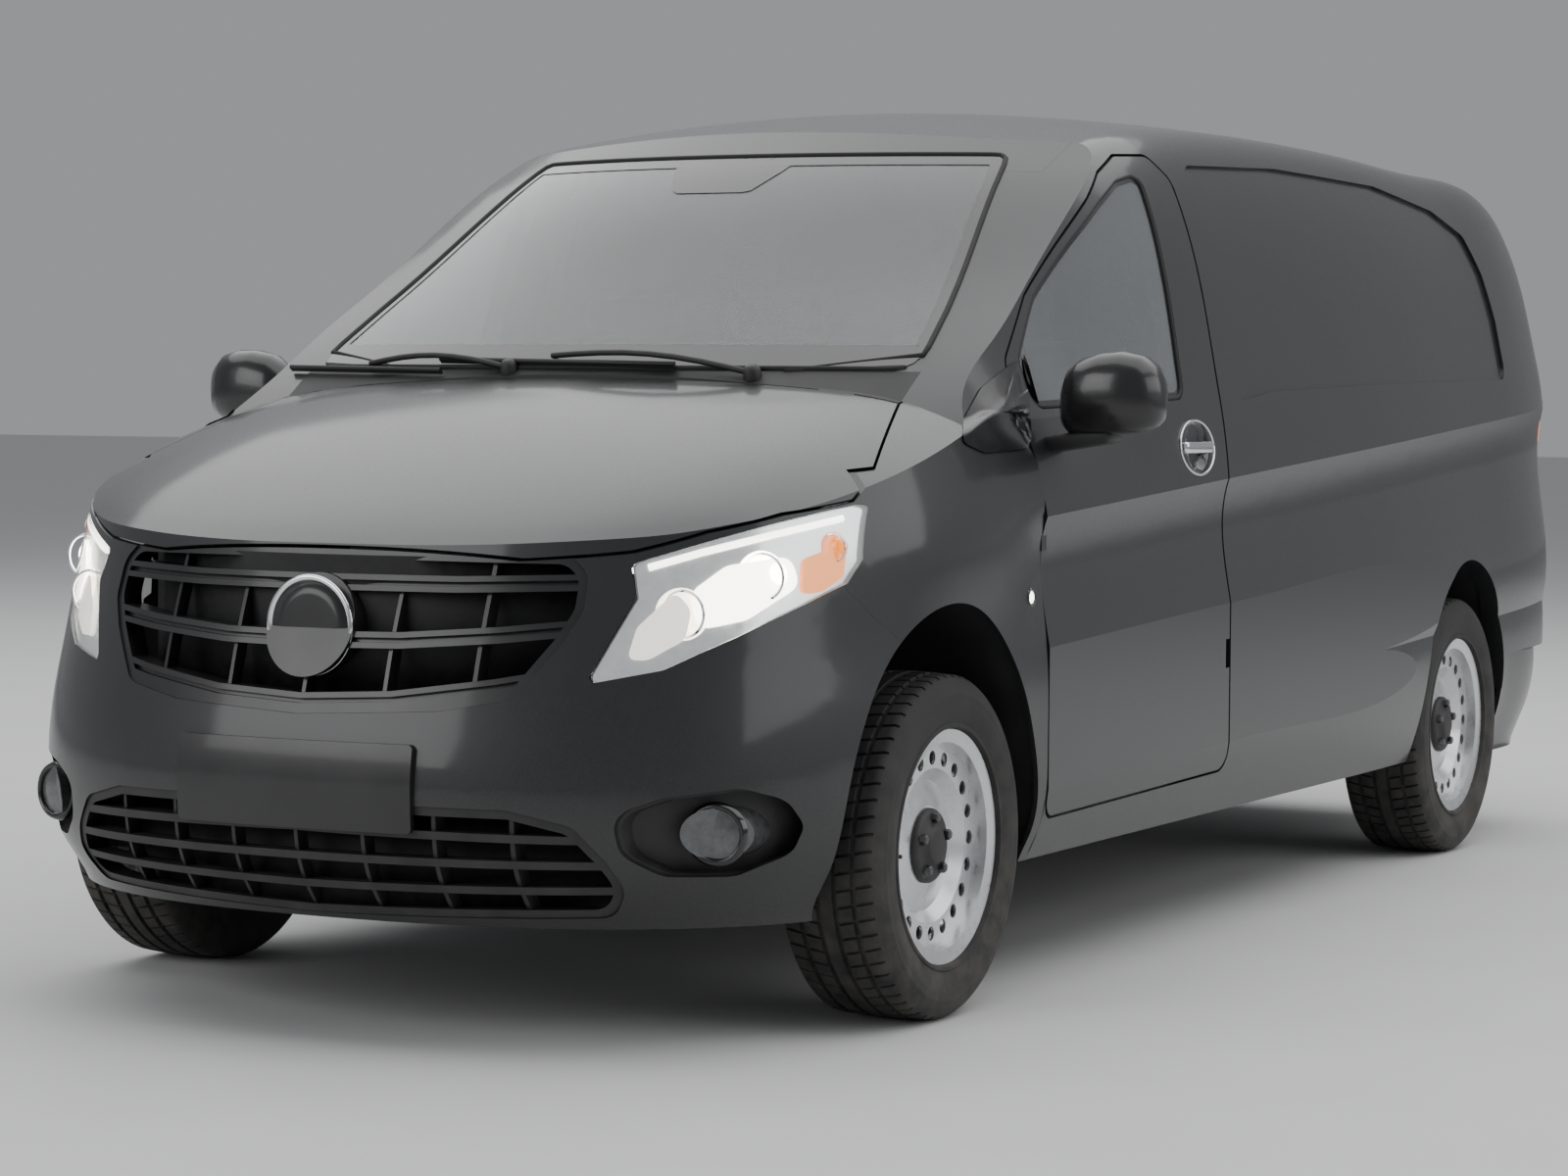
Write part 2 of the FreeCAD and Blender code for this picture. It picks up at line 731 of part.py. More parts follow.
def make_shell():
    """The body's walls as one skin, from which the panels are cut."""
    under_bonnet = bonnet_face().extrude(Vector(0, 0, -HEIGHT))
    under_bonnet = under_bonnet.common(block(DOOR_X, LENGTH, -LENGTH, LENGTH, -LENGTH, LENGTH))
    return body_solid().cut(under_bonnet).cut(body_solid(WALL, HEIGHT / 4))


def make_nose():
    """The skin of the nose and wings, with the bonnet on it."""
    outer = belt_loft().common(bonnet_face().extrude(Vector(0, 0, -HEIGHT)))
    inner = belt_loft(SKIN, OVERRUN).common(bonnet_face(SKIN).extrude(Vector(0, 0, -HEIGHT)))
    return outer.cut(inner)


def ditch_outline(grow):
    """The roof panel's plan, grown sideways."""
    left = []
    for share in BODY_STATION_SHARES:
        x = share * HALF_LENGTH
        left.append((x, side_section(x)[-1][0] + grow))
    return left + [(x, -y) for x, y in reversed(left)]


# Zones that several panels share

ARCHES = arch(FRONT_AXLE, size("arch_half_length"), size("front_arch_height"), size("arch_shift"))
ARCHES = ARCHES.fuse(arch(REAR_AXLE, size("arch_half_length"), size("rear_arch_height")))
FRONT_TUB = (FRONT_AXLE, size("liner_half_length"), size("front_arch_height") + size("liner_lift"))
REAR_TUB = (REAR_AXLE, size("liner_half_length"), size("rear_arch_height") + size("liner_lift"))


def tub(axle, half_length, height, grow=0):
    return arch(axle, half_length + grow, height + grow)


LINER_SPACE = tub(*FRONT_TUB, size("liner_wall") + SEAT_GAP)
REAR_X = REAR_AXLE - size("arch_half_length")
DOOR_LINE = side_outline(DOOR_SHARES)
WINDOW_LINE = side_outline(WINDOW_SHARES)
SLIDER_LINE = side_outline(SLIDER_SHARES)
SCREEN_LINE = front_outline(SCREEN_OPENING_SHARES)
REAR_LINE = front_outline(REAR_OPENING_SHARES)
LAMP_LINE = front_outline(HEADLAMP_SHARES)
FOG_LINE = front_outline(FOG_SHARES)
GRILLE_LINE = whole_front_outline(GRILLE_SHARES)
LOWER_LINE = whole_front_outline(LOWER_SHARES)
BONNET_LINE = side_outline(BONNET_LINE_SHARES)
WING_LINE = side_outline(WING_SHARES)
BONNET_PLAN = scaled(BONNET_PLAN_SHARES, HALF_LENGTH, HALF_WIDTH)
COWL_TOP = SCREEN_OPENING_SHARES[0][1] * HEIGHT
TAIL_LAMP_SHARES = (0.45, 0.70)
BUMPER_TOP = REAR_OPENING_SHARES[0][1] * HEIGHT

SHELL = make_shell()
NOSE = make_nose()
PRESSING = body_loft().cut(body_loft(size("recess_depth")))
INNER_BODY = body_solid(WALL + SEAT_GAP, HEIGHT / 4)
CLEAR_BODY = body_solid(WALL + size("floor_clearance"), HEIGHT / 4)
INNER_SHELL = body_loft(SEAT_GAP)
SCREEN_OPENING = front_prism(SCREEN_LINE, RADIUS)
REAR_OPENING = front_prism(REAR_LINE, RADIUS, -LENGTH, REAR_X)
DOOR_OPENINGS = both_sides_prism(DOOR_LINE, RADIUS)


def cowl_zone(x_from, z_from, z_to, grow=0):
    half_width = size("cowl_half_width") + grow
    return block(x_from, size("cowl_front_x") + grow, -half_width, half_width, z_from, z_to)


def tail_lamp_zone(shrink):
    low, high = [share * HEIGHT for share in TAIL_LAMP_SHARES]
    inner_y = size("lamp_inner_y") + shrink
    return both(block(-LENGTH, -size("lamp_front_x") - shrink, inner_y, LENGTH, low + shrink, high - shrink))


# Body shell panels

def make_post():
    """The door post behind the left wing."""
    solid = body_loft(SKIN + SEAT_GAP).cut(body_loft(WALL, HEIGHT / 4))
    solid = solid.common(belt_loft(SKIN + SEAT_GAP, 2 * OVERRUN))
    x_end = DOOR_X + size("post_length")
    solid = solid.common(bonnet_face(SKIN + SEAT_GAP).extrude(Vector(0, 0, -HEIGHT)))
    solid = solid.common(block(DOOR_X, x_end, 0, LENGTH, size("body_bottom"), HEIGHT))
    return main_solid(solid.cut(LINER_SPACE))


def make_side():
    """A left body side with its pillars, sill and post, before what only one side has."""
    roof_zone = plan_prism(ditch_outline(SEAT_GAP), size("roof_split_height") - SEAT_GAP, LENGTH)
    side = SHELL.common(block(-LENGTH, LENGTH, 0, LENGTH, -LENGTH, LENGTH))
    for zone in (roof_zone, SCREEN_OPENING, REAR_OPENING, DOOR_OPENINGS, ARCHES, tail_lamp_zone(0),
                 cowl_zone(size("firewall_x"), size("firewall_top"), COWL_TOP),
                 block(-LENGTH, -size("bumper_front_x"), -LENGTH, LENGTH, 0, BUMPER_TOP)):
        side = side.cut(zone)
    return main_solid(side).fuse(make_post())


def make_sliding_door():
    door = SHELL.common(side_prism(offset(SLIDER_LINE, -PANEL_GAP), RADIUS, -LENGTH, 0))
    return door.cut(PRESSING.common(both_sides_prism(side_outline(SLIDER_PANEL_SHARES), RADIUS)))


def make_roof():
    roof = SHELL.common(plan_prism(ditch_outline(0), size("roof_split_height"), LENGTH))
    return main_solid(roof.cut(SCREEN_OPENING).cut(REAR_OPENING).cut(DOOR_OPENINGS))


def make_tail_lamps():
    return SHELL.common(tail_lamp_zone(SEAT_GAP))


def make_door():
    """The left cab door with its window cut and a round pull recess with a grip across it."""
    door = SHELL.common(side_prism(offset(DOOR_LINE, -PANEL_GAP), RADIUS))
    rear = DOOR_LINE[0][0] + size("door_rear_gap")
    rebate = block(-LENGTH, rear + size("flange_width"), 0, LENGTH, 0, HEIGHT)
    door = door.cut(block(-LENGTH, rear, 0, LENGTH, 0, HEIGHT)).cut(body_loft(SKIN).common(rebate))
    door = door.cut(side_prism(WINDOW_LINE, RADIUS))
    opening = side_prism(offset(DOOR_LINE, -SEAT_GAP), RADIUS)
    leaf_y = size("leaf_y")
    for low in (size("door_leaf_low_z"), size("door_leaf_high_z")):
        leaf = block(DOOR_X - size("door_leaf_reach"), DOOR_X, leaf_y, leaf_y + size("leaf_width"),
                     low, low + size("leaf_height"))
        door = door.fuse(leaf.common(opening))
    x = size("handle_x")
    z = size("handle_height")
    cup = across(size("handle_radius"), x, HALF_WIDTH - size("handle_depth"), HALF_WIDTH + OVERRUN, z)
    half_grip = size("grip_length") / 2
    half_height = size("grip_height") / 2
    grip = block(x - half_grip, x + half_grip, 0, HALF_WIDTH, z - half_height, z + half_height)
    return main_solid(door.cut(cup.cut(grip)))


def make_door_glass():
    outer_depth = size("glass_inset")
    glass = body_loft(outer_depth).cut(body_loft(outer_depth + size("glass")))
    return main_solid(glass.common(side_prism(offset(WINDOW_LINE, -SEAT_GAP), RADIUS)))


def make_windscreen():
    screen = screen_face().extrude(Vector(-size("screen_glass"), 0, 0))
    return screen.common(front_prism(offset(SCREEN_LINE, -SEAT_GAP), RADIUS))


def make_cowl():
    """The panel between bonnet and windscreen, and the wall under it ahead of the dashboard."""
    under_screen = screen_face().extrude(Vector(-LENGTH, 0, 0))
    under_bonnet = bonnet_face().extrude(Vector(0, 0, -HEIGHT))
    zone = cowl_zone(size("cowl_rear_x"), size("firewall_top"), COWL_TOP - SEAT_GAP, -SEAT_GAP)
    top = zone.common(under_screen).fuse(zone.common(under_bonnet))
    top = top.cut(bonnet_face(size("cowl_thickness")).extrude(Vector(0, 0, -HEIGHT)))
    wall_x = size("plenum_wall_x")
    half = size("plenum_half_width")
    wall = block(wall_x, wall_x + size("cowl_thickness"), -half, half, size("firewall_top"), COWL_TOP)
    return main_solid(top.fuse(wall.common(under_bonnet)))


def make_rear_door():
    """The left rear door with its hinge leaves."""
    gap = size("rear_door_gap")
    opening = front_prism(offset(REAR_LINE, -gap), RADIUS, -LENGTH, REAR_X)
    left = block(-LENGTH, 0, gap / 2, LENGTH, 0, LENGTH)
    door = main_solid(SHELL.common(opening).common(left))
    seat = front_prism(offset(REAR_LINE, -SEAT_GAP), RADIUS, -LENGTH, REAR_X)
    seat = seat.cut(front_prism(offset(REAR_LINE, -size("leaf_reach")), RADIUS, -LENGTH, REAR_X))
    depth = size("rear_leaf_depth")
    layer = rear_face(depth / 2).extrude(Vector(depth, 0, 0))
    for low in (size("rear_leaf_low_z"), size("rear_leaf_high_z")):
        leaf = block(-LENGTH, REAR_X, 0, LENGTH, low, low + size("leaf_height"))
        leaf = leaf.common(seat).common(layer).common(INNER_SHELL)
        door = door.fuse(leaf)
    return main_solid(door)


# Shares of the height of the rear doors' sill, and of the half length
REAR_BUMPER_SHARES = ((0.465, 0.95), (0.54, 0.972), (0.67, 0.990), (0.78, 0.9975), (0.93, 0.9985),
                      (1.0, 0.992))
REAR_BUMPER_POWER_SHARES = (2.3, 4.6)


def rear_bumper_wire(z, reach_share, depth, back):
    x0 = -size("bumper_front_x")
    points = side_section(x0)
    width = through([(p[1], p[0]) for p in points], z) - depth
    reach = reach_share * HALF_LENGTH - depth + x0
    across_power, along_power = REAR_BUMPER_POWER_SHARES
    outline = []
    for i in range(BELT_STEPS + 1):
        angle = math.pi / 2 * (1 - 2 * i / BELT_STEPS)
        y = math.copysign(width * abs(math.sin(angle)) ** (2 / across_power), angle)
        outline.append((x0 - reach * abs(math.cos(angle)) ** (2 / along_power), y, z))
    ahead_right = (x0 + back, outline[-1][1], z)
    ahead_left = (x0 + back, outline[0][1], z)
    edges = [curve(outline)]
    if back:
        edges.append(curve([outline[-1], ahead_right]))
        edges.append(curve([ahead_right, ahead_left]))
        edges.append(curve([ahead_left, outline[0]]))
    else:
        edges.append(curve([outline[-1], outline[0]]))
    return Part.Wire(edges)


def rear_bumper_loft(depth=0, back=0):
    top = BUMPER_TOP - SEAT_GAP
    wires = [rear_bumper_wire(z * top, reach, depth, back) for z, reach in REAR_BUMPER_SHARES]
    return Part.makeLoft(wires, True, False)


def make_rear_bumper():
    """The wrap-round bumper with the ledge under the rear doors."""
    outer = rear_bumper_loft()
    skin = outer.cut(rear_bumper_loft(size("bumper_skin"), OVERRUN))
    ledge_z = BUMPER_TOP - SEAT_GAP - size("bumper_skin")
    ledge = outer.common(block(-LENGTH, REAR_X, -LENGTH, LENGTH, ledge_z, LENGTH))
    ledge = ledge.cut(INNER_BODY)
    return main_solid(skin.fuse(ledge).cut(ARCHES))


# Nose panels

def bonnet_zone(grow):
    plan = plan_prism(offset(BONNET_PLAN, grow), 0, HEIGHT)
    return both_sides_prism(offset(BONNET_LINE, grow)).common(plan)


BONNET_ZONE = bonnet_zone(0)
NOSE_PANELS = NOSE.cut(BONNET_ZONE).cut(ARCHES).cut(cowl_zone(0, 0, HEIGHT, PANEL_GAP))
NOSE_PANELS = NOSE_PANELS.cut(both(front_prism(LAMP_LINE, SKIN)))
NOSE_PANELS = NOSE_PANELS.cut(block(0, LENGTH, -LENGTH, LENGTH, 0, size("nose_bottom")))
NOSE_PANELS = NOSE_PANELS.cut(block(0, FRONT_AXLE, -LENGTH, LENGTH, 0, size("body_bottom")))


SIDE_LAMP_SHARE = 0.428


def side_lamp(radius, depth):
    """A round lamp on the left wing, just ahead of the door."""
    x = DOOR_X + size("post_length")
    z = SIDE_LAMP_SHARE * HEIGHT
    y = side_width(z)
    return across(radius, x, y - depth, y + size("lens") / 2, z)


def make_bonnet():
    """The bonnet with its two hinge leaves at the rear edge."""
    front_x = size("cowl_front_x")
    bonnet = NOSE.common(bonnet_zone(-PANEL_GAP))
    bonnet = bonnet.cut(block(0, front_x + PANEL_GAP, -LENGTH, LENGTH, 0, HEIGHT))
    leaf_y = size("bonnet_leaf_y")
    leaf_zone = block(front_x, front_x + size("leaf_reach"), leaf_y, leaf_y + size("leaf_height"), 0, HEIGHT)
    return bonnet.fuse(both(NOSE.common(leaf_zone)))


def make_wing():
    wing = NOSE_PANELS.common(side_prism(offset(WING_LINE, -SEAT_GAP)))
    return main_solid(wing.cut(side_lamp(size("side_lamp_radius") + SEAT_GAP, WALL)))


def make_front_bumper():
    bumper = NOSE_PANELS.cut(both_sides_prism(WING_LINE))
    bumper = bumper.cut(front_prism(GRILLE_LINE, RADIUS)).cut(front_prism(LOWER_LINE, RADIUS))
    return main_solid(bumper.cut(both(front_prism(FOG_LINE, RADIUS))))


def band(centre_line, height):
    """A closed front outline of one height along a line that rises from the middle to both sides."""
    left = front_outline(centre_line)
    line = [(-y, z) for y, z in reversed(left) if y] + left
    return [(y, z - height / 2) for y, z in line] + [(y, z + height / 2) for y, z in reversed(line)]


def nose_part(zone, outer_depth, inner_depth):
    """What lies in a zone between two depths below the nose's surface."""
    return zone.common(belt_loft(outer_depth)).cut(belt_loft(inner_depth, OVERRUN))


BISECTIONS = 30


def nose_x(y, z, depth=0):
    """Where the nose's surface is at y and z."""
    low = 0
    high = math.pi / 2
    for _ in range(BISECTIONS):
        middle = (low + high) / 2
        if belt_point(middle, z, depth)[1] < y:
            low = middle
        else:
            high = middle
    return belt_point(low, z, depth)[0]


PATCH_STEPS = 6


def nose_patch(outline, depth):
    """A face through points of the nose's surface at one depth, over a front outline about its middle."""
    half_width = max(y for y, z in outline) + OVERRUN
    z_low = min(z for y, z in outline) - OVERRUN
    z_high = max(z for y, z in outline) + OVERRUN
    grid = []
    for i in range(PATCH_STEPS + 1):
        z = z_low + (z_high - z_low) * i / PATCH_STEPS
        grid.append([(nose_x(abs(g) * half_width, z, depth), g * half_width, z) for g in GRID_SHARES])
    return surface(grid)


def front_layer(zone, outline, outer_depth, inner_depth):
    """What lies in a zone about the nose's middle between two depths below its surface."""
    under = nose_patch(outline, outer_depth).extrude(Vector(-LENGTH / 4, 0, 0))
    behind = nose_patch(outline, inner_depth).extrude(Vector(-LENGTH / 2, 0, 0))
    return zone.common(under).cut(behind)


def rows(whole, lines, height, above):
    """Bars across a zone: a strip along each line, or one above and one below it."""
    bars = []
    for line in lines:
        if above:
            raised = [(y, z + above / HEIGHT) for y, z in line]
            lowered = [(y, z - above / HEIGHT) for y, z in line]
            bars.append(front_prism(band(raised, height), 0, DOOR_X))
            bars.append(front_prism(band(lowered, height), 0, DOOR_X))
        else:
            bars.append(front_prism(band(line, height), 0, DOOR_X))
    return whole.common(bars[0].multiFuse(bars[1:]))


def make_ribs(whole, shares):
    """Upright ribs behind a grille's bars."""
    half_rib = size("rib_width") / 2
    ribs = []
    for share in shares:
        y = share * HALF_WIDTH
        ribs.append(block(DOOR_X, LENGTH, y - half_rib, y + half_rib, 0, LENGTH))
    return whole.common(ribs[0].multiFuse(ribs[1:]))


def slatted(outline, face_rows, back_rows, rib_shares):
    """A grille: a frame in the outline, bars across it, and what joins them set further back."""
    whole = front_prism(offset(outline, -SEAT_GAP), RADIUS, DOOR_X)
    frame = whole.cut(front_prism(offset(outline, -size("grille_frame")), RADIUS, DOOR_X))
    front = frame.fuse(rows(whole, *face_rows))
    front = front_layer(front, outline, size("grille_set_back"), size("grille_depth"))
    behind = make_ribs(whole, rib_shares)
    if back_rows:
        behind = behind.fuse(rows(whole, *back_rows))
    return front.fuse(front_layer(behind, outline, size("rib_step"), size("rib_depth")))


GRILLE_BAR_SHARES = (((0, 0.456), (0.3, 0.4565), (0.6, 0.461)), ((0, 0.400), (0.2, 0.4015), (0.4, 0.409),
                     (0.6, 0.420)), ((0, 0.340), (0.2, 0.345), (0.4, 0.359), (0.6, 0.378)))
GRILLE_RIB_SHARES = (-0.36, -0.18, 0, 0.18, 0.36)
LOWER_BAR_SHARES = (((0, 0.218), (0.7, 0.213)), ((0, 0.189), (0.7, 0.189)), ((0, 0.160), (0.7, 0.164)))
LOWER_RIB_SHARES = (-0.45, -0.3, -0.15, 0, 0.15, 0.3, 0.45)
CAP_SHARE = 0.414


def make_grille():
    """The grille with its plain round cap."""
    strip = (size("bar_height") - size("bar_groove")) / 2
    face_rows = (GRILLE_BAR_SHARES, strip, (strip + size("bar_groove")) / 2)
    back_rows = (GRILLE_BAR_SHARES, size("bar_height") - strip, 0)
    grille = slatted(GRILLE_LINE, face_rows, back_rows, GRILLE_RIB_SHARES)
    grille = grille.cut(BONNET_ZONE)
    z = CAP_SHARE * HEIGHT
    cap = along(size("cap_radius"), DOOR_X, LENGTH, 0, z)
    return grille.fuse(front_layer(cap, GRILLE_LINE, -size("bar_step") / 2, size("rib_depth")))


def make_lower_grille():
    return slatted(LOWER_LINE, (LOWER_BAR_SHARES, size("bar_height") / 2, 0), None, LOWER_RIB_SHARES)


# Places of the lamps' bowls, and their radii, in shares of the half width and of the height
BOWL_SHARES = ((0.70, 0.430, 0.026), (0.805, 0.465, 0.026), (0.885, 0.492, 0.016))


def make_headlamps():
    """The lamps' housings behind their lenses, with round bowls."""
    outline = offset(LAMP_LINE, SKIN)
    start = SKIN + SEAT_GAP
    housing = front_prism(outline, SKIN, size("lamp_rear_x")).cut(both_sides_prism(BONNET_LINE))
    housing = nose_part(housing.cut(LINER_SPACE), start, size("lamp_depth"))
    for y_share, z_share, radius_share in BOWL_SHARES:
        y = y_share * HALF_WIDTH
        z = z_share * HEIGHT
        radius = radius_share * HEIGHT
        centre = Vector(nose_x(y, z, start), y, z)
        housing = housing.cut(Part.makeSphere(radius, centre))
    return both(main_solid(housing))


def make_headlamp_lenses():
    lens = nose_part(front_prism(offset(LAMP_LINE, -SEAT_GAP), SKIN, DOOR_X), 0, size("lens"))
    return both(main_solid(lens))


def fog_lamp(radius, outer_depth, inner_depth):
    y = FOG_CENTRE_SHARES[0] * HALF_WIDTH
    z = FOG_CENTRE_SHARES[1] * HEIGHT
    return nose_part(along(radius, DOOR_X, LENGTH, y, z), outer_depth, inner_depth)


def make_fog_surrounds():
    """The pockets round the fog lamps."""
    start = SKIN + SEAT_GAP
    back = start + size("pocket_depth")
    outline = offset(FOG_LINE, SKIN)
    pocket = nose_part(front_prism(outline, RADIUS, size("pocket_rear_x")).cut(LINER_SPACE), start, back)
    inside = front_prism(offset(FOG_LINE, -SKIN / 2), RADIUS, DOOR_X).cut(belt_loft(back - SKIN, OVERRUN))
    y = FOG_CENTRE_SHARES[0] * HALF_WIDTH
    z = FOG_CENTRE_SHARES[1] * HEIGHT
    pocket = pocket.cut(inside).cut(along(size("fog_radius") + SEAT_GAP, DOOR_X, LENGTH, y, z))
    return both(main_solid(pocket))


def make_small_lamps():
    """The round fog lamps, and the round side lamps on the wings."""
    start = SKIN + SEAT_GAP
    fog = fog_lamp(size("fog_radius"), start, start + size("pocket_depth") + SKIN)
    return both(fog.fuse(side_lamp(size("side_lamp_radius"), SKIN)))


def make_plate_bracket():
    bottom = size("plate_bottom")
    half = size("plate_length") / 2
    outline = [(-half, bottom), (half, bottom), (half, bottom + size("plate_height")),
               (-half, bottom + size("plate_height"))]
    return front_layer(front_prism(outline, SKIN, DOOR_X), outline, -size("plate_depth"), -size("plate_gap"))


# Floor, bulkhead and liners

def make_floor():
    """The load floor, the step down to the cab floor and the wall between cab and engine."""
    step_x = size("bulkhead_x")
    thick = size("floor_thickness")
    load_top = size("load_floor_top")
    cab_top = size("cab_floor_top")
    wall_x = size("firewall_x")
    wall_end = wall_x + size("sheet_thickness")
    rear = -HALF_LENGTH
    profile = [(rear, load_top - thick), (step_x, load_top - thick), (step_x, cab_top - thick),
               (wall_end, cab_top - thick), (wall_end, size("firewall_top")), (wall_x, size("firewall_top")),
               (wall_x, cab_top), (step_x + thick, cab_top), (step_x + thick, load_top), (rear, load_top)]
    sheet_zone = both_sides_prism(profile)
    load = sheet_zone.common(INNER_BODY).common(block(-LENGTH, step_x, -LENGTH, LENGTH, 0, LENGTH))
    load = load.common(rear_face(WALL + size("floor_clearance")).extrude(Vector(LENGTH, 0, 0)))
    load = load.cut(block(-LENGTH, -size("bumper_front_x"), -LENGTH, LENGTH, 0, BUMPER_TOP))
    cab = sheet_zone.common(CLEAR_BODY).common(block(step_x, LENGTH, -LENGTH, LENGTH, 0, LENGTH))
    hinge_y = size("leaf_y") - 2 * PANEL_GAP
    cab = cab.cut(both(block(wall_x - OVERRUN, LENGTH, hinge_y, LENGTH, 0, LENGTH)))
    inner_y = size("wheel_box_inner_y") - SEAT_GAP
    boxes = tub(*REAR_TUB, size("liner_wall") + SEAT_GAP)
    boxes = boxes.cut(block(-LENGTH, LENGTH, -inner_y, inner_y, -LENGTH, LENGTH))
    return main_solid(load.fuse(cab).cut(boxes))


def make_bulkhead():
    """The full-height sheet behind the seats, on the front edge of the load floor."""
    x = size("bulkhead_x")
    zone = block(x, x + size("sheet_thickness"), -LENGTH, LENGTH, size("load_floor_top") + SEAT_GAP, LENGTH)
    return CLEAR_BODY.common(zone)


def make_arch_liner(place, inner_y, outer):
    """One left wheel arch's liner: a band over the wheel and a wall inboard of it."""
    wall = size("liner_wall")
    band_zone = tub(*place, wall).cut(tub(*place))
    band_zone = band_zone.common(block(-LENGTH, LENGTH, inner_y, LENGTH, size("liner_skirt"), LENGTH))
    inner_zone = block(-LENGTH, LENGTH, inner_y, inner_y + wall, size("liner_bottom"), LENGTH)
    return main_solid(band_zone.fuse(tub(*place, wall).common(inner_zone)).common(outer))


def make_arch_liners():
    front_outer = belt_loft(SKIN + SEAT_GAP, 2 * OVERRUN)
    front = make_arch_liner(FRONT_TUB, size("liner_inner_y"), front_outer)
    rear = make_arch_liner(REAR_TUB, size("wheel_box_inner_y"), body_loft(WALL + SEAT_GAP, HEIGHT / 4))
    return both(front.fuse(rear))


# Chassis, axles and steering knuckles

def make_chassis():
    """Two stepped rails with the front beam, the cradle and the lower arms."""
    tall = size("rail_height")
    load_z = size("load_floor_top") - size("floor_thickness") - SEAT_GAP
    cab_z = size("cab_floor_top") - size("floor_thickness") - SEAT_GAP
    top = size("rail_top")
    rear = size("rail_rear_x")
    step_x = size("bulkhead_x") - SEAT_GAP
    front_x = size("firewall_x") + size("sheet_thickness") + SEAT_GAP
    beam_x = size("beam_x")
    profile = [(rear, load_z - tall), (step_x - tall, load_z - tall), (step_x, cab_z - tall),
               (front_x, cab_z - tall), (front_x + 2 * tall, top - tall), (beam_x, top - tall), (beam_x, top),
               (front_x + tall, top), (front_x, cab_z), (step_x, cab_z), (step_x, load_z), (rear, load_z)]
    inner_y = size("rail_y")
    chassis = both(side_prism(profile, 0, inner_y, inner_y + size("rail_width")))
    half_beam = size("beam_half_width")
    chassis = chassis.fuse(block(beam_x, beam_x + size("beam_depth"), -half_beam, half_beam,
                                 top - size("beam_height"), top))
    chassis = chassis.fuse(block(rear, rear + tall, -inner_y, inner_y, load_z - tall, load_z))
    arm_z = AXLE_HEIGHT - size("arm_drop")
    x_from = FRONT_AXLE - size("cradle_width") / 2
    x_to = FRONT_AXLE + size("cradle_width") / 2
    cradle_low = arm_z - size("arm_height") / 2
    cradle = block(x_from, x_to, -inner_y, inner_y, cradle_low, cradle_low + size("cradle_height"))
    legs = both(block(x_from, x_to, inner_y, inner_y + size("rail_width"), cradle_low, top - tall))
    mounting_y = size("mounting_y")
    mountings = both(block(x_from, x_to, mounting_y, mounting_y + size("mounting_width"), cradle_low,
                           size("engine_z") - SEAT_GAP))
    chassis = chassis.fuse(cradle).fuse(legs).fuse(mountings).fuse(both(make_arm(arm_z, inner_y)))
    for place in (0, size("tow_hole_spacing")):
        hole_x = rear + tall + size("tow_hole_inset") + place
        chassis = chassis.cut(across(size("tow_hole_radius"), hole_x, -LENGTH, LENGTH, load_z - tall / 2))
    return chassis


def make_arm(z, inner_y):
    """A flat arm out to the steering pivot, with the pivot's hole."""
    half = size("arm_width") / 2
    half_height = size("arm_height") / 2
    pivot_y = size("pivot_y")
    arm = block(FRONT_AXLE - half, FRONT_AXLE + half, inner_y, pivot_y, z - half_height, z + half_height)
    arm = arm.fuse(upright(half, FRONT_AXLE, pivot_y, z - half_height, z + half_height))
    return arm.cut(upright(size("pivot_radius") + SEAT_GAP, FRONT_AXLE, pivot_y, 0, HEIGHT))


def make_struts():
    """The front suspension struts with the upper arms that hold the pivots."""
    z = AXLE_HEIGHT + size("arm_rise")
    y = size("strut_y")
    arm = make_arm(z, y)
    top = AXLE_HEIGHT + FRONT_TUB[2]
    tower = upright(size("strut_radius"), FRONT_AXLE, y, z - size("arm_height") / 2, top)
    inside = tub(*FRONT_TUB, -SEAT_GAP)
    return both(main_solid(tower.fuse(arm).common(inside)))


# How far the hub reaches outwards from the wheel's middle, as a share of the rim's width
HUB_SHARE = 0.30


def make_knuckle():
    """A left steering knuckle: pivots, upright, splash shield and the stub that carries the wheel."""
    low = AXLE_HEIGHT - size("arm_drop") + size("arm_height") / 2 + size("arm_gap")
    high = AXLE_HEIGHT + size("arm_rise") - size("arm_height") / 2 - size("arm_gap")
    half = size("upright_length") / 2
    half_width = size("upright_width") / 2
    pivot_y = size("pivot_y")
    knuckle = block(FRONT_AXLE - half, FRONT_AXLE + half, pivot_y - half_width, pivot_y + half_width,
                    low, high)
    reach = size("arm_height") + size("arm_gap")
    knuckle = knuckle.fuse(upright(size("pivot_radius"), FRONT_AXLE, pivot_y, low - reach, high + reach))
    hub_y = size("track_front") / 2 + HUB_SHARE * size("rim_width")
    knuckle = knuckle.fuse(across(size("stub_radius"), FRONT_AXLE, pivot_y, hub_y, AXLE_HEIGHT))
    shield_y = size("shield_y")
    shield = across(size("shield_radius"), FRONT_AXLE, shield_y, shield_y + size("shield_thickness"),
                    AXLE_HEIGHT)
    return knuckle.fuse(shield)


